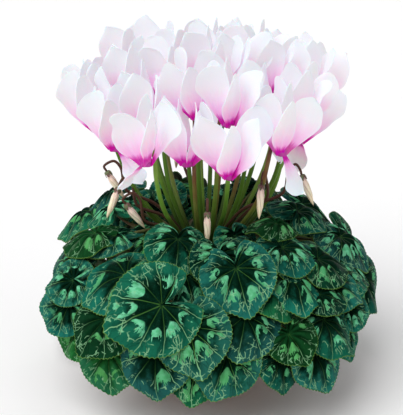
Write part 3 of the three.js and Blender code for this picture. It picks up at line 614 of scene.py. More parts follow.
def part_blooms(blooms, sheets):
    """Moves blooms apart where they cross. Returns whether any moved."""
    moved = False
    for k in range(1, len(blooms)):
        for j in range(k):
            apart = blooms[k].middle() - blooms[j].middle()
            if length(apart) > APART or not sheets_cross(sheets[j], sheets[k]):
                continue
            apart = apart * (0.55, 1, 0.15)
            apart = apart * (0.6 / length(apart))
            blooms[k].nose = blooms[k].nose + apart
            blooms[j].nose = blooms[j].nose - apart
            moved = True
    return moved


def settle_blooms(blooms):
    """Moves the blooms clear of each other, mostly along the line of sight."""
    homes = [bloom.nose.copy() for bloom in blooms]
    for _ in range(BLOOM_ROUNDS):
        sheets = [Sheets(petal_sheets(bloom)) for bloom in blooms]
        aside = clear_stalks(blooms, sheets)
        apart = part_blooms(blooms, sheets)
        for bloom, home in zip(blooms, homes):
            off = bloom.nose - home
            deep = SIGHT * (off @ SIGHT)
            seen = off - deep
            bloom.nose = home + deep + seen * min(1, SHIFT / max(1e-6, length(seen)))
        if not (aside or apart):
            break
    return blooms


def near_line(points, centre, reach):
    """Whether a bent line may come within reach of a centre."""
    for p, q in zip(points[:-1], points[1:]):
        if length((p + q) / 2 - centre) < reach + length(q - p) / 2:
            return True
    return False


class Bud:
    """A bud's neck, the way its hook goes out, and the way it points."""

    def __init__(self, index, x, front, z, nod, swing):
        a = math.radians(nod)
        self.index = index
        self.out = vec(math.sin(a), -math.cos(a), 0)
        self.neck = vec(x, -front, z)
        self.point = unit(vec(0, 0, -1) + self.out * swing)


def bud_stalk_points(bud, low=0.0, high=0.0):
    """Points of a bud's stalk, which hooks over to its neck."""
    start = stalk_start(bud.neck)
    foot, arm, top = (bud.neck - bud.out * r + vec(0, 0, h) for r, h in ((18, -18), (13, 5), (6.5, 11.5)))
    return np.array((
        start, arched(start, foot, (0.2, 0.2, 0.4), low), arched(start, foot, (0.58, 0.58, 0.78), high),
        foot, arm, top,
        bud.neck - bud.point * 6 + vec(0, 0, 1), bud.neck - bud.point * 1.5,
    ))


def ribbons(points, radius):
    """Crossed ribbons along a stem, for other stems to keep off."""
    sheets = []
    for p, q in zip(points[:-1], points[1:]):
        across = unit(cross(q - p, p * (1, 1, 0)))
        corners = []
        for wide in (across, unit(cross(q - p, across))):
            wide = wide * (radius + 0.5)
            a, b, c, d = p - wide, p + wide, q + wide, q - wide
            corners += [(a, b, c), (a, c, d)]
        sheets.append(np.array(corners))
    return sheets


def pot_side():
    """The pot's side up to its rim, which the leaf stalks pass over."""
    turns = np.arange(POT["sides"] + 1) * 2 * math.pi / POT["sides"]
    low = np.stack((POT["rim"] * np.cos(turns), POT["rim"] * np.sin(turns), turns * 0), 1)
    high = low + (0, 0, POT["height"] + 2)
    side = []
    for i in range(POT["sides"]):
        side += [(low[i], low[i + 1], high[i + 1]), (low[i], high[i + 1], high[i])]
    return np.array(side)


def stalk_bows():
    """How a stalk may bow out, low down and high up, from straight to far on each side."""
    bows = []
    for reach in (0, 5, 10, 16, 24):
        for turn in range(0, 360, 45 if reach else 360):
            bow = vec(reach * math.cos(math.radians(turn)), reach * math.sin(math.radians(turn)), 0)
            bows += [(bow * low, bow * high) for low, high in ((1, 1), (0.4, 1), (1, 0.4), (0, 1), (1, 0))]
    return bows


def stalk_way(line_at, sheets):
    """The points of a stalk on its freest way."""
    return line_at(*freest(stalk_bows(), line_at, sheets, STALK["clear"]))


class Plant:
    """Where every leaf, bloom, bud and stalk of the plant is."""

    def __init__(self):
        self.leaves = settle_leaves(all_leaves())
        laminas = [lamina_sheet(leaf) for leaf in self.leaves]
        self.blooms = settle_blooms([Bloom(*row, i) for i, row in enumerate(BLOOMS)])
        self.buds = [Bud(i, *row) for i, row in enumerate(BUDS)]
        petals = [petal_sheets(bloom) for bloom in self.blooms]
        self.sprays = self.root_leaves(laminas, self.stalks_off(petals, laminas))
        leaf_stalks = [
            sheet for _, _, shapes, _ in self.sprays for shape in shapes
            for sheet in ribbons(petiole_points(*shape, PETIOLE["steps"]), PETIOLE["radius"])
        ]
        self.stalks = self.stalks_off(petals, laminas + leaf_stalks)

    def stalks_off(self, petals, more):
        """The ways of the flower stalks, clear of the petals and of more sheets."""
        stalks = []
        for i, bloom in enumerate(self.blooms):
            others = [sheet for j, group in enumerate(petals) if j != i for sheet in group]
            line_at = functools.partial(bloom_stalk_points, bloom)
            stalks.append(stalk_way(line_at, Sheets(others + more)))
        sheets = Sheets([sheet for group in petals for sheet in group] + more)
        for bud in self.buds:
            stalks.append(stalk_way(functools.partial(bud_stalk_points, bud), sheets))
        return stalks

    def root_leaves(self, laminas, stalks):
        """The leaves in sprays side by side, each with the shape of its stalk."""
        hurdles = [sheet for points in stalks for sheet in ribbons(points[:5], STALK["radius"])]
        hurdles.append(pot_side())
        order = sorted(self.leaves, key=lambda leaf: math.atan2(leaf.base[0], -leaf.base[1]))
        sprays = []
        for s in range(SPRAYS):
            first = math.floor(s * len(order) / SPRAYS + 0.5)
            last = math.floor((s + 1) * len(order) / SPRAYS + 0.5)
            group = sorted(order[first:last], key=lambda leaf: -leaf.base[2])
            turn = math.radians((s + 0.5) * 360 / SPRAYS - 180)
            out = vec(math.sin(turn), -math.cos(turn), 0)
            middle = vec(0, 0, TUBER["top"])
            roots = [out * (ROOT["first"] + ROOT["step"] * i) + middle for i in range(len(group))]
            shapes = []
            for leaf, root in zip(group, roots):
                others = [sheet for other, sheet in zip(self.leaves, laminas) if other is not leaf]
                start = root + vec(0, 0, ROOT["lift"])
                shapes.append(petiole_way(leaf, start, Sheets(others + hurdles)))
            sprays.append((group, roots, shapes, out))
        return sprays


plant = Plant()


# Modelling
def alone(piece=None):
    """Deselects everything, and selects and activates one object if it is given."""
    for other in bpy.context.selected_objects:
        other.select_set(False)
    if piece:
        piece.select_set(True)
        bpy.context.view_layer.objects.active = piece


def named(piece, name):
    """Gives a piece and its mesh a name."""
    piece.name = name
    piece.data.name = name
    return piece


def points_of(piece):
    """A piece's points, in metres."""
    flat = np.empty(len(piece.data.vertices) * 3)
    piece.data.vertices.foreach_get("co", flat)
    return flat.reshape(-1, 3)


def put_points(piece, points):
    """Moves a piece's points to the given ones, in millimetres."""
    piece.data.vertices.foreach_set("co", (np.asarray(points) * MM).ravel())
    piece.data.update()


def grid_piece(name, columns, rows):
    """A flat grid of quads, from which a curved sheet is shaped. Its UV runs from 0 to 1 both ways."""
    alone()
    bpy.ops.mesh.primitive_grid_add(x_subdivisions=columns, y_subdivisions=rows, size=1)
    return named(bpy.context.object, name)


def twin(piece):
    """A copy with its own mesh."""
    other = piece.copy()
    other.data = piece.data.copy()
    bpy.context.collection.objects.link(other)
    return other


def discard(piece):
    mesh = piece.data
    bpy.data.objects.remove(piece)
    bpy.data.meshes.remove(mesh)


def joined(pieces, name):
    """Joins pieces into one with a name of its own."""
    alone()
    for piece in pieces:
        piece.select_set(True)
    bpy.context.view_layer.objects.active = pieces[0]
    if len(pieces) > 1:
        bpy.ops.object.join()
    return named(bpy.context.object, name)


def finish_modifier(piece, kind, **settings):
    """Adds a modifier to a piece and applies it."""
    alone(piece)
    modifier = piece.modifiers.new(kind.title(), kind)
    for key, value in settings.items():
        setattr(modifier, key, value)
    bpy.ops.object.modifier_apply(modifier=modifier.name)


def edit(piece, *steps):
    """Runs edit mode operators, each with its settings, on all of a piece."""
    alone(piece)
    bpy.ops.object.mode_set(mode="EDIT")
    bpy.ops.mesh.select_all(action="SELECT")
    for operator, settings in steps:
        operator(**settings)
    bpy.ops.object.mode_set(mode="OBJECT")


def shade(piece, degrees=None):
    """Shades a piece smooth, or only where its faces meet at less than an angle."""
    alone(piece)
    if degrees is None:
        bpy.ops.object.shade_smooth()
    else:
        bpy.ops.object.shade_smooth_by_angle(angle=math.radians(degrees))


def tidy_mesh(piece):
    """Merges doubles, turns the faces outwards and shades the piece smooth."""
    edit(
        piece,
        (bpy.ops.mesh.remove_doubles, {"threshold": MERGE}),
        (bpy.ops.mesh.normals_make_consistent, {"inside": False}),
    )
    shade(piece)


def tidy_blades(sheets):
    """Closes the points at the notches of a joined set of blades, and shades them smooth."""
    edit(sheets, (bpy.ops.mesh.remove_doubles, {"threshold": MERGE}))
    shade(sheets, 50)


def note(piece, name, value):
    """Keeps one number on every point of a piece, for its material to read."""
    layer = piece.data.attributes.new(name, "FLOAT", "POINT")
    layer.data.foreach_set("value", np.full(len(piece.data.vertices), float(value)))


def note_place(piece, name, places):
    """Keeps a place on every point of a piece, for its material to read."""
    layer = piece.data.attributes.new(name, "FLOAT_VECTOR", "POINT")
    layer.data.foreach_set("vector", np.asarray(places, float).ravel())


def dress(piece, *materials):
    piece.data.materials.clear()
    for material in materials:
        piece.data.materials.append(material)


def use_finish(piece, number):
    """Gives all of a piece's faces one of its materials."""
    piece.data.polygons.foreach_set("material_index", np.full(len(piece.data.polygons), number))


def nearest_node(point, prefix):
    """The CAD node of a kind that comes nearest to a point in millimetres."""
    best, name = math.inf, None
    for node, mesh_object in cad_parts.items():
        if not node.startswith(prefix):
            continue
        if node not in NODE_POINTS:
            NODE_POINTS[node] = points_of(mesh_object) / MM
        gap = np.linalg.norm(NODE_POINTS[node] - point, axis=1).min()
        if gap < best:
            best, name = gap, node
    return name


NODE_POINTS = {}


def catmull(points, count):
    """A smooth line through the points, with the given number of steps between each two."""
    ends = np.vstack((2 * points[0] - points[1], points, 2 * points[-1] - points[-2]))
    line = []
    for a, b, c, d in zip(ends[:-3], ends[1:-2], ends[2:-1], ends[3:]):
        gaps = [max(1e-4, length(q - p)) ** 0.5 for p, q in ((a, b), (b, c), (c, d))]
        m1 = (b - a) / gaps[0] - (c - a) / (gaps[0] + gaps[1]) + (c - b) / gaps[1]
        m2 = (c - b) / gaps[1] - (d - b) / (gaps[1] + gaps[2]) + (d - c) / gaps[2]
        m1, m2 = m1 * gaps[1], m2 * gaps[1]
        t = np.linspace(0, 1, count, endpoint=False)[:, None]
        line.append(
            b * (2 * t**3 - 3 * t**2 + 1) + m1 * (t**3 - 2 * t**2 + t)
            + c * (3 * t**2 - 2 * t**3) + m2 * (t**3 - t**2)
        )
    return np.vstack(line + [points[-1:]])


def stems(name, lines):
    """Round stems along lines of points and radii in millimetres, with closed ends, as one mesh."""
    alone()
    bpy.ops.curve.primitive_bezier_curve_add()
    curve = bpy.context.object
    curve.name = name
    curve.data.splines.clear()
    for points, radii in lines:
        spline = curve.data.splines.new("POLY")
        spline.points.add(len(points) - 1)
        for point, place, radius in zip(spline.points, points, radii):
            point.co = (*(place * MM), 1)
            point.radius = radius * MM
    curve.data.dimensions = "3D"
    curve.data.bevel_depth = 1
    curve.data.bevel_resolution = 2
    curve.data.use_fill_caps = True
    alone(curve)
    bpy.ops.object.convert(target="MESH")
    return bpy.context.object


# Materials
class Wire:
    """A node's output, on which sums, products and powers can be written."""

    def __init__(self, finish, socket):
        self.finish, self.socket = finish, socket

    def maths(self, operation, *values):
        return self.finish.node("ShaderNodeMath", {"operation": operation}, dict(enumerate(values)))

    def __add__(self, other):
        return self.maths("ADD", self, other)

    def __sub__(self, other):
        return self.maths("SUBTRACT", self, other)

    def __rsub__(self, other):
        return self.maths("SUBTRACT", other, self)

    def __mul__(self, other):
        return self.maths("MULTIPLY", self, other)

    def __pow__(self, other):
        return self.maths("POWER", self, other)

    def __abs__(self):
        return self.maths("ABSOLUTE", self)

    __radd__ = __add__
    __rmul__ = __mul__

    def folded(self):
        """The distance to the nearest whole number."""
        return self.maths("PINGPONG", self, 0.5)

    def rounded_down(self):
        return self.maths("FLOOR", self)

    def at_most(self, other):
        return self.maths("MINIMUM", self, other)

    def at_least(self, other):
        return self.maths("MAXIMUM", self, other)


class Finish:
    """A material in the making: its nodes, and its surface shader's sockets."""

    def __init__(self, name, **settings):
        self.material = bpy.data.materials.new(name)
        self.material.use_nodes = True
        self.tree = self.material.node_tree
        self.surface = self.tree.nodes["Principled BSDF"]
        for key, value in settings.items():
            self.socket(key).default_value = value

    def socket(self, key):
        """The surface shader's socket for a keyword such as base_color."""
        return self.surface.inputs[key.replace("_", " ").title().replace("Ior", "IOR")]

    def plug(self, socket, value):
        """Links a wire to a socket, or sets the socket to a number or colour."""
        if isinstance(value, Wire):
            self.tree.links.new(value.socket, socket)
        elif isinstance(value, (tuple, list)) and len(value) == 3 and socket.type == "RGBA":
            socket.default_value = (*value, 1)
        else:
            socket.default_value = value

    def node(self, kind, settings, sockets, output=0):
        """A new node with its settings made and its sockets filled, as one of its outputs."""
        node = self.tree.nodes.new(kind)
        for key, value in settings.items():
            if key == "stops":
                self.set_stops(node.color_ramp, value)
            else:
                setattr(node, key, value)
        for key, value in sockets.items():
            self.plug(node.inputs[key], value)
        return Wire(self, node.outputs[output])

    @staticmethod
    def set_stops(ramp, stops):
        for i, (place, colour) in enumerate(stops):
            stop = ramp.elements[i] if i < len(ramp.elements) else ramp.elements.new(place)
            stop.position = place
            stop.color = (*colour, 1)

    def place(self):
        return self.node("ShaderNodeTexCoord", {}, {}, "Object")

    def parts(self, vector):
        """The three numbers of a vector."""
        split = self.node("ShaderNodeSeparateXYZ", {}, {0: vector}).socket.node
        return [Wire(self, output) for output in split.outputs]

    def own_map(self):
        """The two coordinates of the piece's own UV map."""
        return self.parts(self.node("ShaderNodeUVMap", {"uv_map": "UVMap"}, {}))[:2]

    def height(self):
        return self.parts(self.place())[2]

    def kept(self, name, output="Fac"):
        """What note or note_place keeps on the piece's points."""
        return self.node("ShaderNodeAttribute", {"attribute_name": name}, {}, output)

    def chance(self, a, b):
        """A random number from 0 to 1 for a pair of numbers."""
        settings = {"noise_dimensions": "2D"}
        return self.node("ShaderNodeTexWhiteNoise", settings, {"Vector": self.vector(a, b)}, "Value")

    def vector(self, x, y, z=0.0):
        return self.node("ShaderNodeCombineXYZ", {}, {0: x, 1: y, 2: z})

    def noise(self, where, scale, detail=2.0, rough=0.5):
        sockets = {"Vector": where, "Scale": scale, "Detail": detail, "Roughness": rough}
        return self.node("ShaderNodeTexNoise", {}, sockets)

    def cells(self, where, scale, feature="DISTANCE_TO_EDGE", output=0):
        settings = {"feature": feature, "voronoi_dimensions": "2D"}
        return self.node("ShaderNodeTexVoronoi", settings, {"Vector": where, "Scale": scale}, output)

    def step(self, value, low, high):
        """Rises from 0 to 1 as the value goes from low to high, or falls if low is the higher."""
        settings = {"interpolation_type": "SMOOTHSTEP"}
        return self.node("ShaderNodeMapRange", settings, {0: value, 1: low, 2: high, 3: 0.0, 4: 1.0})

    def blend(self, share, a, b):
        return self.node("ShaderNodeMix", {"data_type": "RGBA"}, {0: share, 6: a, 7: b}, 2)

    def ramp(self, value, stops):
        return self.node("ShaderNodeValToRGB", {"stops": stops}, {0: value})

    def bump(self, height, strength, distance):
        sockets = {"Height": height, "Strength": strength, "Distance": distance}
        return self.node("ShaderNodeBump", {}, sockets)

    def done(self, **sockets):
        """Fills the surface shader's sockets, and hands over the material."""
        for key, value in sockets.items():
            self.plug(self.socket(key), value)
        return self.material


def leaf_finish(settings):
    """A dark leaf with a broken ring of silver patches, pale forked veins and a yellow-green edge."""
    f = Finish("leaf blade", specular_ior_level=0.035, specular_tint=(0.4, 1.0, 0.8, 1.0))
    u, share = f.own_map()
    spot = f.kept("spot", "Vector")
    tone, number = f.kept("tone"), f.kept("number").rounded_down()
    grain = f.noise(spot, 9.0, 3.0)
    fine = f.noise(spot, 34.0, 3.0)
    wander = f.noise(spot, 2.6, 2.0)
    ribs = (u - 0.5) * RIBS * (share * 0.1 + 1) + (wander - 0.5) * share * 0.5
    fold = ribs.folded()
    sector = ribs.rounded_down()
    size = f.chance(sector, number)
    reach = f.chance(sector + 40, number)
    # Distance from the nearest main vein, in millimetres on a middling leaf
    off = fold * share * 22
    boldness = 0.2 + f.chance((ribs + 0.5).rounded_down(), number) * 0.5
    main = f.step(off, 0.5, 0.15) * f.step(share, 0.0, 0.05) * boldness
    # The patches: rounded towards the notch, torn along the veins towards the edge
    comb = f.noise(f.vector(ribs * 9.5, share * 1.4, number * 3.7), 1.4)
    inner = 0.28 + reach * 0.16 + (wander - 0.5) * 0.4 + (0.5 - fold) ** 2 * 0.7
    mesh = f.vector(ribs * 2.3 + number * 17 + (fine - 0.5) * 0.3, share * 5.5 + (grain - 0.5) * 0.4)
    cell = f.cells(mesh, 1.0, "F1", "Color")
    outer = inner + 0.04 + size * 0.26 + (comb - 0.5) * 0.4 + (cell - 0.5) * 0.5
    patch = f.step(share - inner, 0.0, 0.03) * f.step(share - outer, 0.012, -0.012)
    clear = f.step(fold + (grain - 0.5) * 0.2 - reach * 0.14, 0.02, 0.08)
    patch = patch * clear * f.step(size, 0.3, 0.36)
    # Thin pale veins: the main veins' ends, two forks off each, and a broken net between them
    first = 0.3 + f.chance(sector + 80, number) * 0.25 + (grain - 0.5) * 0.12
    fork = abs(off - (share - first) * 15)
    later = abs(off - (share - first - 0.2) * 19)
    forks = f.step(fork.at_most(later), 0.38, 0.12) * f.step(share - first, 0.04, 0.14)
    twigs = f.step(f.cells(mesh, 1.0), 0.07, 0.02) * f.step(share + (wander - 0.5) * 1.2, 0.55, 0.75)
    broken = f.step(f.noise(spot, 5.6, 1.0), 0.48, 0.57)
    ends = f.step(off, 0.42, 0.14) * f.step(share, 0.35, 0.75) * (boldness + 0.3)
    strokes = (twigs.at_least(forks) * broken).at_least(ends)
    # The blade: near-black round the notch, blue-green outwards, greener on young leaves
    outwards = f.step(share + (wander - 0.5) * 0.9 + (grain - 0.5) * 0.5, 0.38, 0.9)
    base = f.blend(outwards, settings.dark[:], settings.teal[:])
    base = f.blend(f.step(tone, 0.35, 0.7) * outwards * 0.7, base, settings.green[:])
    base = f.blend(f.step(tone, 0.75, 0.95), base, settings.bright[:])
    base = f.blend(f.step(fine, 0.5, 0.8) * 0.2, base, settings.teal[:])
    # Painted shade: some leaves, drawn at random, are darkened towards the dark green, standing in for
    # leaves that lie in shade deeper in the mound
    base = f.blend(f.step(f.chance(number, 3.0), 0.2, 0.9) * 0.85, base, settings.dark[:])
    # Painted highlight: on some leaves, drawn at random, the outer blade is lighter blue-green, standing in
    # for a bluish sheen of reflected light
    base = f.blend(f.step(f.chance(number, 7.0), 0.55, 1.0) * outwards * 0.5, base, (0.025, 0.15, 0.14))
    base = f.blend(f.step(fold, 0.24, 0.02) * f.step(share, 1.0, 0.55) * 0.75, base, settings.dark[:])
    # The silver: greener in places, and on some leaves
    pale = f.blend(f.step(grain, 0.35, 0.65), settings.silver[:], (0.08, 0.42, 0.19))
    pale = f.blend(f.chance(number, 5.0) * 0.8, pale, (0.06, 0.3, 0.1))
    pale = f.blend(f.step(tone, 0.55, 0.9) * 0.7, pale, (0.08, 0.32, 0.07))
    colour = f.blend(patch * settings.marking, base, pale)
    colour = f.blend(main, colour, (0.06, 0.17, 0.03))
    colour = f.blend(strokes * 0.8, colour, settings.vein[:])
    colour = f.blend(f.step(share, 0.98, 0.992), colour, settings.edge[:])
    relief = f.step(fold, 0.0, 0.4) * f.step(share, 0.05, 0.4) * 1.2
    relief = relief + grain * 0.6 + fine * 0.15 - forks * 0.3
    return f.done(base_color=colour, roughness=0.46 + fine * 0.16, normal=f.bump(relief, 0.9, 0.0026))


def underside_finish():
    """The paler, wine-flushed underside of a leaf."""
    f = Finish("leaf underside", roughness=0.6, specular_ior_level=0.15)
    u, share = f.own_map()
    grain = f.noise(f.place(), 60.0, 3.0)
    fold = ((u - 0.5) * (SWEEP / 36) * (share * 0.12 + 1) + (grain - 0.5) * 0.16).folded()
    rib = f.step(fold * share * 20.7, 1.1, 0.2)
    base = f.blend(f.step(grain, 0.3, 0.7), (0.045, 0.13, 0.055), (0.09, 0.09, 0.06))
    colour = f.blend(rib * 0.6, base, (0.16, 0.2, 0.09))
    return f.done(base_color=colour, normal=f.bump(rib + grain * 0.3, 0.6, 0.001))


def petiole_finish():
    """Leaf stalks, wine brown mottled with green."""
    f = Finish("leaf stalk", roughness=0.5, specular_ior_level=0.2)
    grain = f.noise(f.place(), 90.0, 3.0)
    colour = f.blend(f.step(grain, 0.35, 0.65), (0.11, 0.06, 0.03), (0.12, 0.15, 0.045))
    return f.done(base_color=colour, normal=f.bump(grain, 0.3, 0.0006))


def petal_finish(settings):
    """A soft satin petal: magenta at the throat in streaks, pink above it, white to the tip, and a painted
    glow of its own colour.
    """
    f = Finish(
        "petal", roughness=0.6, specular_ior_level=0.1, subsurface_weight=0.4, subsurface_scale=0.006,
        emission_strength=settings.glow,
    )
    u, share = f.own_map()
    tone = f.kept("tone")
    streak = f.noise(f.vector(u * 9, share * 1.4, tone * 20), 1.6, 2.0, 0.6)
    cloud = f.noise(f.place(), 30.0)
    rise = share - (streak - 0.5) * 0.12 - (tone - 0.5) * 0.03
    colour = f.ramp(rise, [
        (0.0, settings.throat[:]),
        (0.12, settings.throat[:]),
        (0.165, (0.62, 0.11, 0.48)),
        (0.225, settings.pink[:]),
        (0.42, (0.77, 0.6, 0.76)),
        (0.62, (0.73, 0.73, 0.79)),
        (1.0, settings.tip[:]),
    ])
    veins = f.step((u * 13 + (cloud - 0.5) * 1.2).folded(), 0.09, 0.0) * f.step(share, 1.0, 0.2)
    colour = f.blend(veins * 0.12, colour, (0.86, 0.52, 0.72))
    colour = f.blend(f.step(cloud, 0.45, 0.7) * f.step(tone, 0.3, 1.0) * 0.2, colour, (0.9, 0.68, 0.8))
    relief = f.noise(f.vector(u * 30, share * 5, tone), 1.0, 2.0) * 0.6 - veins * 0.4
    margin = f.step(abs(u - 0.5), 0.4, 0.5) * f.step(share, 0.15, 0.3)
    colour = f.blend(margin * 0.5, colour, settings.tip[:])
    # Painted glow: the petals emit their own colour, standing in for light that comes through them, and
    # their base colour is darkened to make room for it
    lit = f.blend(0.18, colour, (0, 0, 0))
    return f.done(base_color=lit, emission_color=colour, normal=f.bump(relief, 0.35, 0.0008))


def throat_finish():
    """The closed tube of a bloom: magenta in streaks over a dark maroon mouth."""
    f = Finish("throat", roughness=0.45)
    u, share = f.own_map()
    streak = f.noise(f.vector(u * 26, share * 1.5), 1.6, 2.0)
    colour = f.ramp(share + (streak - 0.5) * 0.12, [
        (0.0, (0.05, 0.004, 0.02)),
        (0.22, (0.12, 0.005, 0.06)),
        (0.34, (0.5, 0.02, 0.32)),
        (1.0, (0.5, 0.05, 0.34)),
    ])
    return f.done(base_color=colour, normal=f.bump(streak, 0.3, 0.0006))


def stalk_finish():
    """Fleshy stalks, olive green below and red-brown towards the flower, with painted shade darkening them
    low down.
    """
    f = Finish("flower stalk", roughness=0.42, specular_ior_level=0.2)
    tone = f.kept("tone")
    grain = f.noise(f.place(), 70.0, 3.0)
    rise = f.height()
    level = rise * 5.5 - 1.12 + (grain - 0.5) * 0.5 + (tone - 0.5) * 1.7
    colour = f.ramp(level, [
        (0.0, (0.09, 0.2, 0.02)),
        (0.3, (0.17, 0.33, 0.04)),
        (0.6, (0.2, 0.22, 0.045)),
        (0.85, (0.2, 0.09, 0.035)),
        (1.0, (0.085, 0.035, 0.022)),
    ])
    # Painted shade: the stalks are darkened to near-black green below about 0.2 m, where they run under the
    # leaves
    colour = f.blend(f.step(rise, 0.2, 0.14) * 0.85, colour, (0.02, 0.035, 0.01))
    return f.done(base_color=colour, roughness=0.36 + grain * 0.15, normal=f.bump(grain, 0.25, 0.0006))


def calyx_finish():
    """Small sepals, green mottled with brown."""
    f = Finish("calyx", roughness=0.55)
    grain = f.noise(f.place(), 260.0, 3.0)
    colour = f.blend(f.step(grain, 0.35, 0.65), (0.13, 0.17, 0.07), (0.14, 0.06, 0.05))
    return f.done(base_color=colour, normal=f.bump(grain, 0.4, 0.0005))


def bud_finish():
    """A rolled bud, cream with a peach flush and a pink neck, its petals' edges in a slow spiral."""
    f = Finish("bud", roughness=0.45, subsurface_weight=0.1, subsurface_scale=0.003)
    u, share = f.own_map()
    seam = (u * 5 + share * 1.6).folded()
    grain = f.noise(f.vector(u * 20, share * 4), 1.5, 2.0)
    colour = f.ramp(share + (grain - 0.5) * 0.1, [
        (0.0, (0.75, 0.36, 0.46)),
        (0.14, (0.95, 0.72, 0.6)),
        (0.45, (0.98, 0.86, 0.64)),
        (1.0, (0.92, 0.76, 0.48)),
    ])
    colour = f.blend(f.step(seam, 0.09, 0.01) * 0.55, colour, (0.42, 0.22, 0.16))
    return f.done(base_color=colour, normal=f.bump(f.step(seam, 0.0, 0.2) + grain * 0.2, 0.6, 0.0008))


def pot_finish(settings):
    """Moulded terracotta-coloured plastic: an even matt skin with faint clouding and scuffs."""
    f = Finish("pot plastic", roughness=0.6)
    where = f.place()
    cloud = f.noise(where, 16.0, 3.0)
    skin = f.noise(where, 900.0, 2.0)
    scuff = f.step(f.noise(where, 70.0, 4.0, 0.7), 0.62, 0.72)
    colour = f.blend(cloud, settings.colour[:], tuple(c * 0.78 for c in settings.colour))
    colour = f.blend(scuff * 0.25, colour, (0.5, 0.36, 0.3))
    return f.done(base_color=colour, roughness=0.5 + cloud * 0.2, normal=f.bump(skin, 0.2, 0.0003))


def soil_finish():
    """Dark crumbly peat with pale fibres and flecks."""
    f = Finish("potting soil", roughness=0.95)
    where = f.place()
    crumb = f.noise(where, 170.0, 5.0, 0.7)
    fleck = f.step(f.noise(where, 420.0, 2.0), 0.66, 0.72)
    colour = f.blend(f.step(crumb, 0.35, 0.7), (0.012, 0.008, 0.006), (0.06, 0.038, 0.024))
    colour = f.blend(fleck * 0.6, colour, (0.2, 0.15, 0.1))
    return f.done(base_color=colour, normal=f.bump(crumb, 1.0, 0.004))


def tuber_finish():
    """The tuber's corky brown skin, cracked in a fine net."""
    f = Finish("tuber skin", roughness=0.85)
    where = f.place()
    cork = f.noise(where, 120.0, 5.0, 0.65)
    crack = f.step(f.cells(where, 210.0), 0.08, 0.0)
    colour = f.blend(f.step(cork, 0.3, 0.7), (0.05, 0.03, 0.02), (0.17, 0.1, 0.06))
    colour = f.blend(crack * 0.5, colour, (0.02, 0.012, 0.008))
    return f.done(base_color=colour, normal=f.bump(cork - crack * 0.5, 0.9, 0.002))


def floor_finish(settings):
    """A pale matt floor with the faintest clouding."""
    f = Finish("floor", roughness=0.9)
    darker = tuple(c * 0.96 for c in settings.floor)
    return f.done(base_color=f.blend(f.noise(f.place(), 3.0) * 0.15, settings.floor[:], darker))


# Settings
class LeafSettings(bpy.types.PropertyGroup):
    """Sizes and colours of the leaves."""

    columns: IntProperty(
        name="Steps round the edge", description="Quads round a leaf's edge, two to a tooth",
        default=120, min=24,
    )
    rows: IntProperty(
        name="Steps outwards", description="Quads from the notch to the edge",
        default=10, min=4,
    )
    thickness: FloatProperty(
        name="Thickness", description="Thickness of a blade",
        default=0.0009, unit="LENGTH",
    )
    reach: FloatProperty(
        name="Reach", description="Size of a blade against that of its CAD node",
        default=1.02, min=0.5, max=1.5, subtype="FACTOR",
    )
    tooth: FloatProperty(
        name="Tooth", description="Depth of a tooth as a share of the leaf's reach",
        default=0.013, min=0, max=0.1, subtype="FACTOR",
    )
    marking: FloatProperty(
        name="Marking", description="Strength of the silver ring",
        default=0.95, min=0, max=1, subtype="FACTOR",
    )
    dark: FloatVectorProperty(
        name="Dark green", description="Colour of the blade",
        default=(0.001, 0.014, 0.006), subtype="COLOR",
    )
    teal: FloatVectorProperty(
        name="Blue green", description="Second colour of the blade",
        default=(0.008, 0.145, 0.098), subtype="COLOR",
    )
    green: FloatVectorProperty(
        name="Green", description="Third colour of the blade",
        default=(0.01, 0.13, 0.035), subtype="COLOR",
    )
    bright: FloatVectorProperty(
        name="Bright green", description="Colour of young leaves",
        default=(0.02, 0.17, 0.03), subtype="COLOR",
    )
    silver: FloatVectorProperty(
        name="Silver", description="Colour of the ring of patches",
        default=(0.18, 0.6, 0.35), subtype="COLOR",
    )
    vein: FloatVectorProperty(
        name="Vein", description="Colour of the pale veins",
        default=(0.24, 0.5, 0.26), subtype="COLOR",
    )
    edge: FloatVectorProperty(
        name="Edge", description="Colour of the leaf's margin",
        default=(0.1, 0.21, 0.04), subtype="COLOR",
    )


class FlowerSettings(bpy.types.PropertyGroup):
    """Sizes and colours of the flowers."""

    columns: IntProperty(name="Steps across", description="Quads across a petal", default=14, min=4)
    rows: IntProperty(name="Steps along", description="Quads along a petal", default=22, min=8)
    thickness: FloatProperty(
        name="Thickness", description="Thickness of a petal",
        default=0.0006, unit="LENGTH",
    )
    stalk: FloatProperty(
        name="Stalk radius", description="Radius of a flower stalk",
        default=0.0022, unit="LENGTH",
    )
    # Strength of the petals' painted glow: emitted light standing in for light that comes through them
    glow: FloatProperty(
        name="Glow", description="Light that seems to come through the petals",
        default=0.35,
    )
    throat: FloatVectorProperty(
        name="Throat", description="Colour of the petal's base",
        default=(0.5, 0.0, 0.33), subtype="COLOR",
    )
    pink: FloatVectorProperty(
        name="Pink", description="Colour just above the throat",
        default=(0.79, 0.39, 0.7), subtype="COLOR",
    )
    tip: FloatVectorProperty(
        name="Tip", description="Colour of the petal's tip",
        default=(0.69, 0.77, 0.81), subtype="COLOR",
    )


class PotSettings(bpy.types.PropertyGroup):
    """Size and colour of the pot and its filling."""

    steps: IntProperty(name="Steps round", description="Faces round the pot", default=96, min=24)
    crumb: FloatProperty(
        name="Crumb", description="Height of the soil's crumbs",
        default=0.0016, unit="LENGTH",
    )
    colour: FloatVectorProperty(
        name="Colour", description="Colour of the pot",
        default=(0.42, 0.13, 0.075), subtype="COLOR",
    )


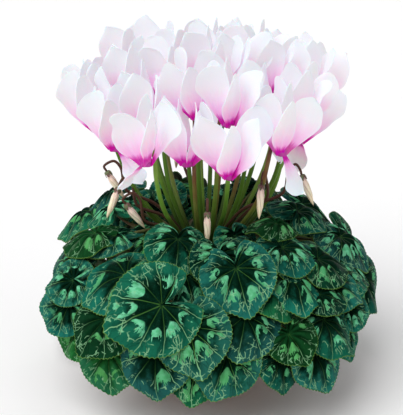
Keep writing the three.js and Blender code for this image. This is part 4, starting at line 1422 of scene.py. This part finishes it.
class StudioSettings(bpy.types.PropertyGroup):
    """The camera and the light."""

    distance: FloatProperty(
        name="Distance", description="From the camera to the plant",
        default=1.4, unit="LENGTH",
    )
    elevation: FloatProperty(
        name="Elevation", description="How far the camera looks down",
        default=math.radians(20), unit="ROTATION",
    )
    field: FloatProperty(
        name="Field", description="Width of the view at the plant",
        default=0.403, unit="LENGTH",
    )
    sky: FloatProperty(name="Sky", description="Strength of the light from all round", default=0.28)
    key: FloatProperty(name="Key", description="Strength of the large soft light", default=2.55)
    floor: FloatVectorProperty(
        name="Floor", description="Colour of the floor",
        default=(0.95, 0.95, 0.95), subtype="COLOR",
    )


class CyclamenOperator:
    """What the operators share."""

    bl_options = {"REGISTER", "UNDO"}

    @staticmethod
    def take(piece, slot, *nodes):
        """Makes a piece ride on the plant and stand for its CAD nodes. The slot is not used."""
        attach(piece, "root")
        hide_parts(*nodes)


class CYCLAMEN_OT_studio(CyclamenOperator, bpy.types.Operator):
    """Adds the floor, the soft lights and the camera"""

    bl_idname = "cyclamen.studio"
    bl_label = "Studio"

    def execute(self, context):
        settings = context.scene.cyclamen_studio
        alone()
        bpy.ops.mesh.primitive_plane_add(size=FLOOR_SIDE)
        floor = context.object
        floor.name = "floor"
        dress(floor, floor_finish(settings))
        world = bpy.data.worlds.new("studio sky")
        world.use_nodes = True
        background = world.node_tree.nodes["Background"]
        background.inputs["Color"].default_value = (1, 1, 1, 1)
        background.inputs["Strength"].default_value = settings.sky
        context.scene.world = world
        for name, place, wide, share in LAMPS:
            bpy.ops.object.light_add(type="SUN", location=place)
            lamp = context.object
            lamp.name = name
            lamp.data.angle = math.radians(wide)
            lamp.data.energy = settings.key * share
            self.aim(lamp, (0, 0, 0.2))
        self.add_camera(context, settings)
        context.scene.view_settings.view_transform = "Standard"
        return {"FINISHED"}

    @staticmethod
    def aim(piece, target):
        """Turns a lamp or camera to face a place."""
        way = np.array(target) - np.array(piece.location)
        piece.rotation_euler = (
            math.atan2(math.hypot(way[0], way[1]), -way[2]), 0, math.atan2(-way[0], way[1]),
        )

    def add_camera(self, context, settings):
        rise = settings.elevation
        place = np.array(AIM) + settings.distance * np.array((0, -math.cos(rise), math.sin(rise)))
        bpy.ops.object.camera_add(location=place)
        camera = context.object
        camera.name = "camera"
        camera.data.sensor_fit = "HORIZONTAL"
        camera.data.lens = camera.data.sensor_width * settings.distance / settings.field
        camera.data.clip_end = 80
        self.aim(camera, AIM)
        context.scene.camera = camera


class CYCLAMEN_OT_leaves(CyclamenOperator, bpy.types.Operator):
    """Adds the leaves with their stalks, a piece for each spray of them"""

    bl_idname = "cyclamen.leaves"
    bl_label = "Leaves"

    def execute(self, context):
        settings = context.scene.cyclamen_leaves
        finishes = (leaf_finish(settings), underside_finish(), petiole_finish())
        master = grid_piece("leaf", settings.columns, settings.rows)
        flat = points_of(master) + 0.5
        groups = {}
        for group, roots, shapes, out in plant.sprays:
            blades = [self.blade(master, flat, leaf, settings) for leaf in group]
            lines = []
            for leaf, shape in zip(group, shapes):
                line = petiole_points(*shape, 10)
                line[-1] -= leaf.axes[2] * 2.2
                lines.append((line, np.linspace(1.9, 1.3, len(line))))
            ends = np.array((roots[0] - out * ROOT["radius"], roots[-1] + out * ROOT["radius"]))
            lines.append((catmull(ends, 6), np.full(7, ROOT["radius"])))
            stalks = stems("leaf stalks", lines)
            dress(stalks, *finishes)
            use_finish(stalks, 2)
            node = nearest_node(group[0].base, "leaf_spray")
            groups.setdefault(node, []).append((blades, stalks))
        discard(master)
        for node in sorted(groups):
            self.spray(node, groups[node], finishes, settings)
        return {"FINISHED"}

    @staticmethod
    def blade(master, flat, leaf, settings):
        """One leaf's sheet: toothed, waved at the margin and quilted between its ribs."""
        blade = twin(master)
        turn = np.radians(SWEEP / 2 - SWEEP * flat[:, 0])
        share = flat[:, 1] ** 0.9
        # The outline: toothed, drawn in at the notch, and with a short point
        column = np.round(flat[:, 0] * settings.columns)
        tooth = np.where(column % 2 < 0.5, settings.tooth, -settings.tooth)
        rim = smooth((share - 0.88) / 0.12)
        notch = 1 - 0.6 * smooth((np.degrees(np.abs(turn)) - 148) / 25)
        tip = 1 + 0.05 * np.exp(-((turn / 0.2) ** 2)) * smooth(share)
        local = leaf.local(turn, share * notch * tip * (1 + tooth * rim) * settings.reach)
        # The relief: swollen between the ribs, rippled, curled and drooping at the edge, sunk at the notch
        ribs = (0.5 - flat[:, 0]) * RIBS * (1 + 0.1 * share)
        fold = np.abs(ribs - np.round(ribs)) * 2
        quilt = 1.8 * np.sin(fold * math.pi / 2) * smooth(share / 0.4) * smooth((1.1 - share) / 0.35)
        ripple = leaf.width * (0.02 * smooth((share - 0.45) / 0.55) * (0.6 + 0.4 * np.cos(2 * turn)))
        ripple = ripple * np.sin(7 * turn + phase(leaf.index, 31))
        curl = leaf.width * spread(leaf.index, 34, 0.035) * share**3
        curl = curl * np.cos(turn + phase(leaf.index, 35))
        dish = 2.2 * np.exp(-((share / 0.3) ** 2))
        droop = 0.145 * leaf.width * max(0, leaf.axes[2][2]) ** 2 * smooth((share - 0.3) / 0.7)
        local[:, 2] += quilt + ripple + curl - dish - droop
        put_points(blade, leaf.place(local))
        level = np.full(len(share), 7 * draw(leaf.index, 32))
        note_place(blade, "spot", np.stack((share * np.sin(turn), share * np.cos(turn), level), 1))
        note(blade, "number", leaf.index + 0.5)
        note(blade, "tone", 1.0 if leaf.index in BRIGHT_LEAVES else draw(leaf.index, 33) * 0.9)
        return blade

    def spray(self, node, parts, finishes, settings):
        """Joins a spray's blades, gives them their thickness, and joins the stalks to them."""
        sheets = joined([blade for blades, _ in parts for blade in blades], "sheets")
        dress(sheets, *finishes)
        finish_modifier(sheets, "SOLIDIFY", thickness=settings.thickness, offset=0, material_offset=1)
        tidy_blades(sheets)
        spray = joined([sheets] + [stalks for _, stalks in parts], node.replace("leaf_spray", "leaves"))
        self.take(spray, "leaf", node)


class CYCLAMEN_OT_flowers(CyclamenOperator, bpy.types.Operator):
    """Adds the blooms, a piece for each one or for each few that touch"""

    bl_idname = "cyclamen.flowers"
    bl_label = "Flowers"

    def execute(self, context):
        settings = context.scene.cyclamen_flowers
        finish, throat = petal_finish(settings), throat_finish()
        master = grid_piece("petal", settings.columns, settings.rows)
        tube = grid_piece("tube", 30, 14)
        flat, round_flat = points_of(master) + 0.5, points_of(tube) + 0.5
        groups = {}
        for bloom in plant.blooms:
            sheets = [self.petal(master, flat, bloom, i) for i in range(len(PETAL_TURNS))]
            nose = self.tube(tube, round_flat, bloom)
            node = nearest_node(bloom.local(0, NOSE_HEIGHT), "bloom")
            groups.setdefault(node, []).append((sheets, nose))
        discard(master)
        discard(tube)
        for node in sorted(groups):
            sheets = joined([petal for petals, _ in groups[node] for petal in petals], "petals")
            dress(sheets, finish)
            finish_modifier(sheets, "SOLIDIFY", thickness=settings.thickness, offset=0)
            tidy_blades(sheets)
            noses = joined([nose for _, nose in groups[node]], "throats")
            dress(noses, throat)
            tidy_mesh(noses)
            self.take(joined([sheets, noses], node.replace("bloom", "flower")), "petal", node)
        return {"FINISHED"}

    @staticmethod
    def petal(master, flat, bloom, index):
        """One petal's sheet."""
        sheet = twin(master)
        put_points(sheet, petal_points(bloom, index, flat[:, 1], 2 * flat[:, 0] - 1, fine=True))
        note(sheet, "tone", draw(bloom.index * 7 + index, 41))
        return sheet

    @staticmethod
    def tube(master, flat, bloom):
        """The closed tube that the petals spring from, its mouth turned in below."""
        nose = twin(master)
        turn, share = flat[:, 0] * 2 * math.pi, flat[:, 1]
        stops = (0, 0.12, 0.22, 0.32, 0.5, 0.8, 1)
        radius = np.interp(share, stops, (0, 2.6, 4.4, 5.9, 6.0, 4.2, 0))
        level = np.interp(share, stops, (5, 4.6, 1.0, 1.2, 4.0, 10.4, 11))
        lobes = 1 + 0.07 * np.cos(5 * (turn - math.radians(PETAL_TURNS[0]))) * smooth((radius - 3) / 3)
        out, left = bloom.across(0)
        across = np.cos(turn)[:, None] * out + np.sin(turn)[:, None] * left
        points = bloom.nose + across * (radius * lobes * bloom.size)[:, None]
        put_points(nose, points + bloom.up * (level * bloom.size)[:, None])
        return nose


class CYCLAMEN_OT_stalks(CyclamenOperator, bpy.types.Operator):
    """Adds the flower stalks with their calyces, grown from one crown"""

    bl_idname = "cyclamen.stalks"
    bl_label = "Flower stalks"

    def execute(self, context):
        settings = context.scene.cyclamen_flowers
        stalk, calyx = stalk_finish(), calyx_finish()
        thick = settings.stalk / MM
        pieces = []
        for i, points in enumerate(plant.stalks):
            bud = i >= len(plant.blooms)
            line = catmull(points, 7)
            size = thick * (0.72 if bud else 1)
            piece = stems("stalk", [(line, np.linspace(size * 1.15, size * 0.72, len(line)))])
            note(piece, "tone", 1.6 if bud else draw(i, 51))
            dress(piece, stalk, calyx)
            pieces.append(piece)
        cup = grid_piece("calyx", 30, 6)
        flat = points_of(cup) + 0.5
        seats = [(bloom.local(0, NOSE_HEIGHT + 3.4), -bloom.up, 1.0, bloom.index) for bloom in plant.blooms]
        seats += [(bud.neck - bud.point * 1.6, bud.point, 0.85, 40 + bud.index) for bud in plant.buds]
        pieces += [self.calyx(cup, flat, *seat) for seat in seats]
        discard(cup)
        pieces.append(self.crown())
        for piece in pieces[len(plant.stalks):]:
            dress(piece, stalk, calyx)
            note(piece, "tone", 0.2)
            use_finish(piece, 0 if piece is pieces[-1] else 1)
        whole = joined(pieces, "stalk_cluster")
        shade(whole)
        self.take(whole, "stalk", "flower_stalks")
        return {"FINISHED"}

    @staticmethod
    def calyx(master, flat, top, way, size, seed):
        """A cup of five pointed sepals round the base of a tube or bud."""
        cup = twin(master)
        turn, share = flat[:, 0] * 2 * math.pi, flat[:, 1]
        sepal = 0.5 + 0.5 * np.cos(5 * turn + phase(seed, 61))
        reach = np.interp(share, (0, 0.3, 1), (0.4, 3.3, 4.1)) * size * (1 + 0.12 * share * sepal)
        drop = share * (2.6 + 4.4 * sepal * smooth((share - 0.3) / 0.7)) * size
        out = around(way, vec(0.3, 0.9, 0.1), turn)
        put_points(cup, top + out * reach[:, None] + way * drop[:, None])
        finish_modifier(cup, "SOLIDIFY", thickness=0.0005, offset=-1)
        tidy_mesh(cup)
        return cup

    @staticmethod
    def crown():
        """The knobbly common foot of the flower stalks."""
        alone()
        bpy.ops.mesh.primitive_uv_sphere_add(segments=40, ring_count=20, radius=CROWN["radius"] * MM)
        crown = bpy.context.object
        points = points_of(crown) / MM
        turn = np.arctan2(points[:, 1], points[:, 0])
        points[:, 2] = CROWN["middle"] + points[:, 2] * CROWN["flatness"]
        points[:, :2] *= (1 + 0.04 * np.sin(9 * turn))[:, None]
        put_points(crown, points)
        return crown


class CYCLAMEN_OT_buds(CyclamenOperator, bpy.types.Operator):
    """Adds the closed buds, each rolled to a point"""

    bl_idname = "cyclamen.buds"
    bl_label = "Buds"

    def execute(self, context):
        finish = bud_finish()
        master = grid_piece("bud", 40, 26)
        flat = points_of(master) + 0.5
        turn, share = flat[:, 0] * 2 * math.pi, flat[:, 1]
        girth = np.interp(share, (0, 0.04, 0.28, 0.65, 0.9, 1), (0, 2.0, 3.2, 2.6, 1.1, 0))
        for bud in plant.buds:
            piece = twin(master)
            seam = 5 * (flat[:, 0] + share * 0.32)
            ridge = 1 + 0.14 * (seam - np.floor(seam)) * smooth(share * 6)
            reach = girth * ridge * (1 + 0.06 * spread(bud.index, 71, 1))
            out = around(bud.point, vec(0.9, 0.3, 0.1), turn)
            points = bud.neck + bud.point * 0.3 + out * reach[:, None]
            put_points(piece, points + bud.point * (share * 1.18 * BUD_LENGTH)[:, None])
            dress(piece, finish)
            tidy_mesh(piece)
            node = "bud_%02d" % (bud.index + 1)
            piece.name = node.replace("bud", "rolled_bud")
            self.take(piece, "bud", node)
        discard(master)
        return {"FINISHED"}


def spun(name, profile, steps):
    """A turned shape: a closed outline of radius and height in millimetres, spun round the axis."""
    alone()
    bpy.ops.mesh.primitive_plane_add(size=0.001)
    piece = named(bpy.context.object, name)
    bpy.ops.object.mode_set(mode="EDIT")
    bpy.ops.mesh.select_all(action="SELECT")
    bpy.ops.mesh.merge(type="CENTER")
    first = profile[0]
    bpy.ops.transform.translate(value=(first[0] * MM, 0, first[1] * MM))
    for (r, z), (next_r, next_z) in zip(profile[:-1], profile[1:]):
        step = ((next_r - r) * MM, 0, (next_z - z) * MM)
        bpy.ops.mesh.extrude_region_move(TRANSFORM_OT_translate={"value": step})
    bpy.ops.mesh.select_all(action="SELECT")
    bpy.ops.mesh.spin(steps=steps, angle=2 * math.pi, center=(0, 0, 0), axis=(0, 0, 1))
    bpy.ops.mesh.select_all(action="SELECT")
    bpy.ops.mesh.remove_doubles(threshold=MERGE)
    bpy.ops.mesh.normals_make_consistent(inside=False)
    bpy.ops.object.mode_set(mode="OBJECT")
    return piece


class CYCLAMEN_OT_pot(CyclamenOperator, bpy.types.Operator):
    """Adds the pot, its soil and the tuber"""

    bl_idname = "cyclamen.pot"
    bl_label = "Pot"

    def execute(self, context):
        settings = context.scene.cyclamen_pot
        self.add_pot(settings)
        self.add_soil(settings)
        self.add_tuber()
        return {"FINISHED"}

    def add_pot(self, settings):
        """The moulded shell with its rolled rim, drilled for its drain holes."""
        base, top, rim, high, wall, floor = (
            POT[key] for key in ("base", "top", "rim", "height", "wall", "floor")
        )
        ledge = high - POT["drop"]
        # Under the base and up the side, over the rolled rim, and down inside
        outline = [
            (0, 2.2), (base - 8, 2.2), (base - 6, 0), (base - 1.4, 0), (base, 1.6),
            (top, ledge - 1), (top + 0.6, ledge), (rim - 1.2, ledge + 0.8), (rim - 0.2, ledge + 2.2),
            (rim, high - 2.2), (rim - 0.8, high - 0.4), (rim - 2, high), (rim - 3, high - 0.8),
            (rim - 3.4, high - 3), (top - wall + 0.6, ledge),
            (base - wall, floor + 2), (base - wall - 2, floor + 0.6), (0, floor + 0.6),
        ]
        pot = spun("pot_shell", outline, settings.steps)
        drills = []
        radius, ring = DRAIN["radius"] * MM, DRAIN["ring"] * MM
        for i in range(DRAIN["holes"]):
            a = i * 2 * math.pi / DRAIN["holes"]
            place = (ring * math.cos(a), ring * math.sin(a), 0.002)
            alone()
            bpy.ops.mesh.primitive_cylinder_add(vertices=20, radius=radius, depth=0.012, location=place)
            bpy.ops.object.transform_apply(location=True)
            drills.append(bpy.context.object)
        drill = joined(drills, "drill")
        finish_modifier(pot, "BOOLEAN", operation="DIFFERENCE", object=drill, solver="EXACT")
        discard(drill)
        shade(pot, 40)
        dress(pot, pot_finish(settings))
        self.take(pot, "pot", "pot")

    def add_soil(self, settings):
        """The pot's filling, its top lightly domed and crumbly."""
        inner, low, top, rings = POT["top"] - POT["wall"] + 0.2, POT["floor"] + 0.9, SOIL["top"], 26
        outline = [(0, low), (POT["base"] - 2.8, low), (inner, top - 3)]
        outline += [(inner * (1 - i / rings), top + SOIL["crown"] * (i / rings)) for i in range(rings + 1)]
        soil = spun("soil_surface", outline, 110)
        points = points_of(soil) / MM
        x, y = points[:, 0], points[:, 1]
        crumbs = np.zeros(len(points))
        for i, (fx, fy, share) in enumerate(CRUMBS):
            crumbs += share * np.sin(x * fx + y * 0.7 * fy + i) * np.cos(y * fy - i)
        points[:, 2] += np.where(points[:, 2] > top - 0.5, crumbs * (settings.crumb / MM), 0)
        put_points(soil, points)
        shade(soil)
        dress(soil, soil_finish())
        self.take(soil, "soil", "soil")

    def add_tuber(self):
        """The flattened corm, a little lumpy."""
        radius, base, top, rings = TUBER["radius"], TUBER["base"], TUBER["top"], 24
        outline = [(0, base)]
        for i in range(1, rings):
            a = math.pi * i / rings
            outline.append((radius * math.sin(a) ** 0.7, base + (top - base) * (1 - math.cos(a)) / 2))
        outline.append((0, top))
        tuber = spun("tuber_skin", outline, 64)
        points = points_of(tuber) / MM
        turn = np.arctan2(points[:, 1], points[:, 0])
        lumps = 1 + 0.035 * np.sin(3 * turn + 1) + 0.02 * np.sin(7 * turn + points[:, 2] * 0.2)
        points[:, :2] *= lumps[:, None]
        put_points(tuber, points)
        shade(tuber)
        dress(tuber, tuber_finish())
        self.take(tuber, "tuber", "tuber")


class CYCLAMEN_PT_panel(bpy.types.Panel):
    """Lists the plant's pieces"""

    bl_idname = "CYCLAMEN_PT_panel"
    bl_label = "Cyclamen"
    bl_space_type = "VIEW_3D"
    bl_region_type = "UI"
    bl_category = "Cyclamen"

    def draw(self, context):
        for operator in OPERATORS:
            self.layout.operator(operator.bl_idname)
        for name in GROUPS:
            group = getattr(context.scene, name)
            box = self.layout.box()
            box.label(text=group.__doc__)
            for key in group.__annotations__:
                box.prop(group, key)


GROUPS = {
    "cyclamen_leaves": LeafSettings,
    "cyclamen_flowers": FlowerSettings,
    "cyclamen_pot": PotSettings,
    "cyclamen_studio": StudioSettings,
}
OPERATORS = (
    CYCLAMEN_OT_studio, CYCLAMEN_OT_pot, CYCLAMEN_OT_leaves, CYCLAMEN_OT_stalks, CYCLAMEN_OT_flowers,
    CYCLAMEN_OT_buds,
)


def register():
    for name, group in GROUPS.items():
        bpy.utils.register_class(group)
        setattr(bpy.types.Scene, name, PointerProperty(type=group))
    for cls in (*OPERATORS, CYCLAMEN_PT_panel):
        bpy.utils.register_class(cls)


def unregister():
    for cls in (CYCLAMEN_PT_panel, *reversed(OPERATORS)):
        bpy.utils.unregister_class(cls)
    for name, group in GROUPS.items():
        delattr(bpy.types.Scene, name)
        bpy.utils.unregister_class(group)


def main():
    """Builds the whole plant and the studio."""
    register()
    bpy.ops.cyclamen.studio()
    bpy.ops.cyclamen.pot()
    bpy.ops.cyclamen.leaves()
    bpy.ops.cyclamen.stalks()
    bpy.ops.cyclamen.flowers()
    bpy.ops.cyclamen.buds()
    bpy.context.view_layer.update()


if __name__ == "__main__":
    main()
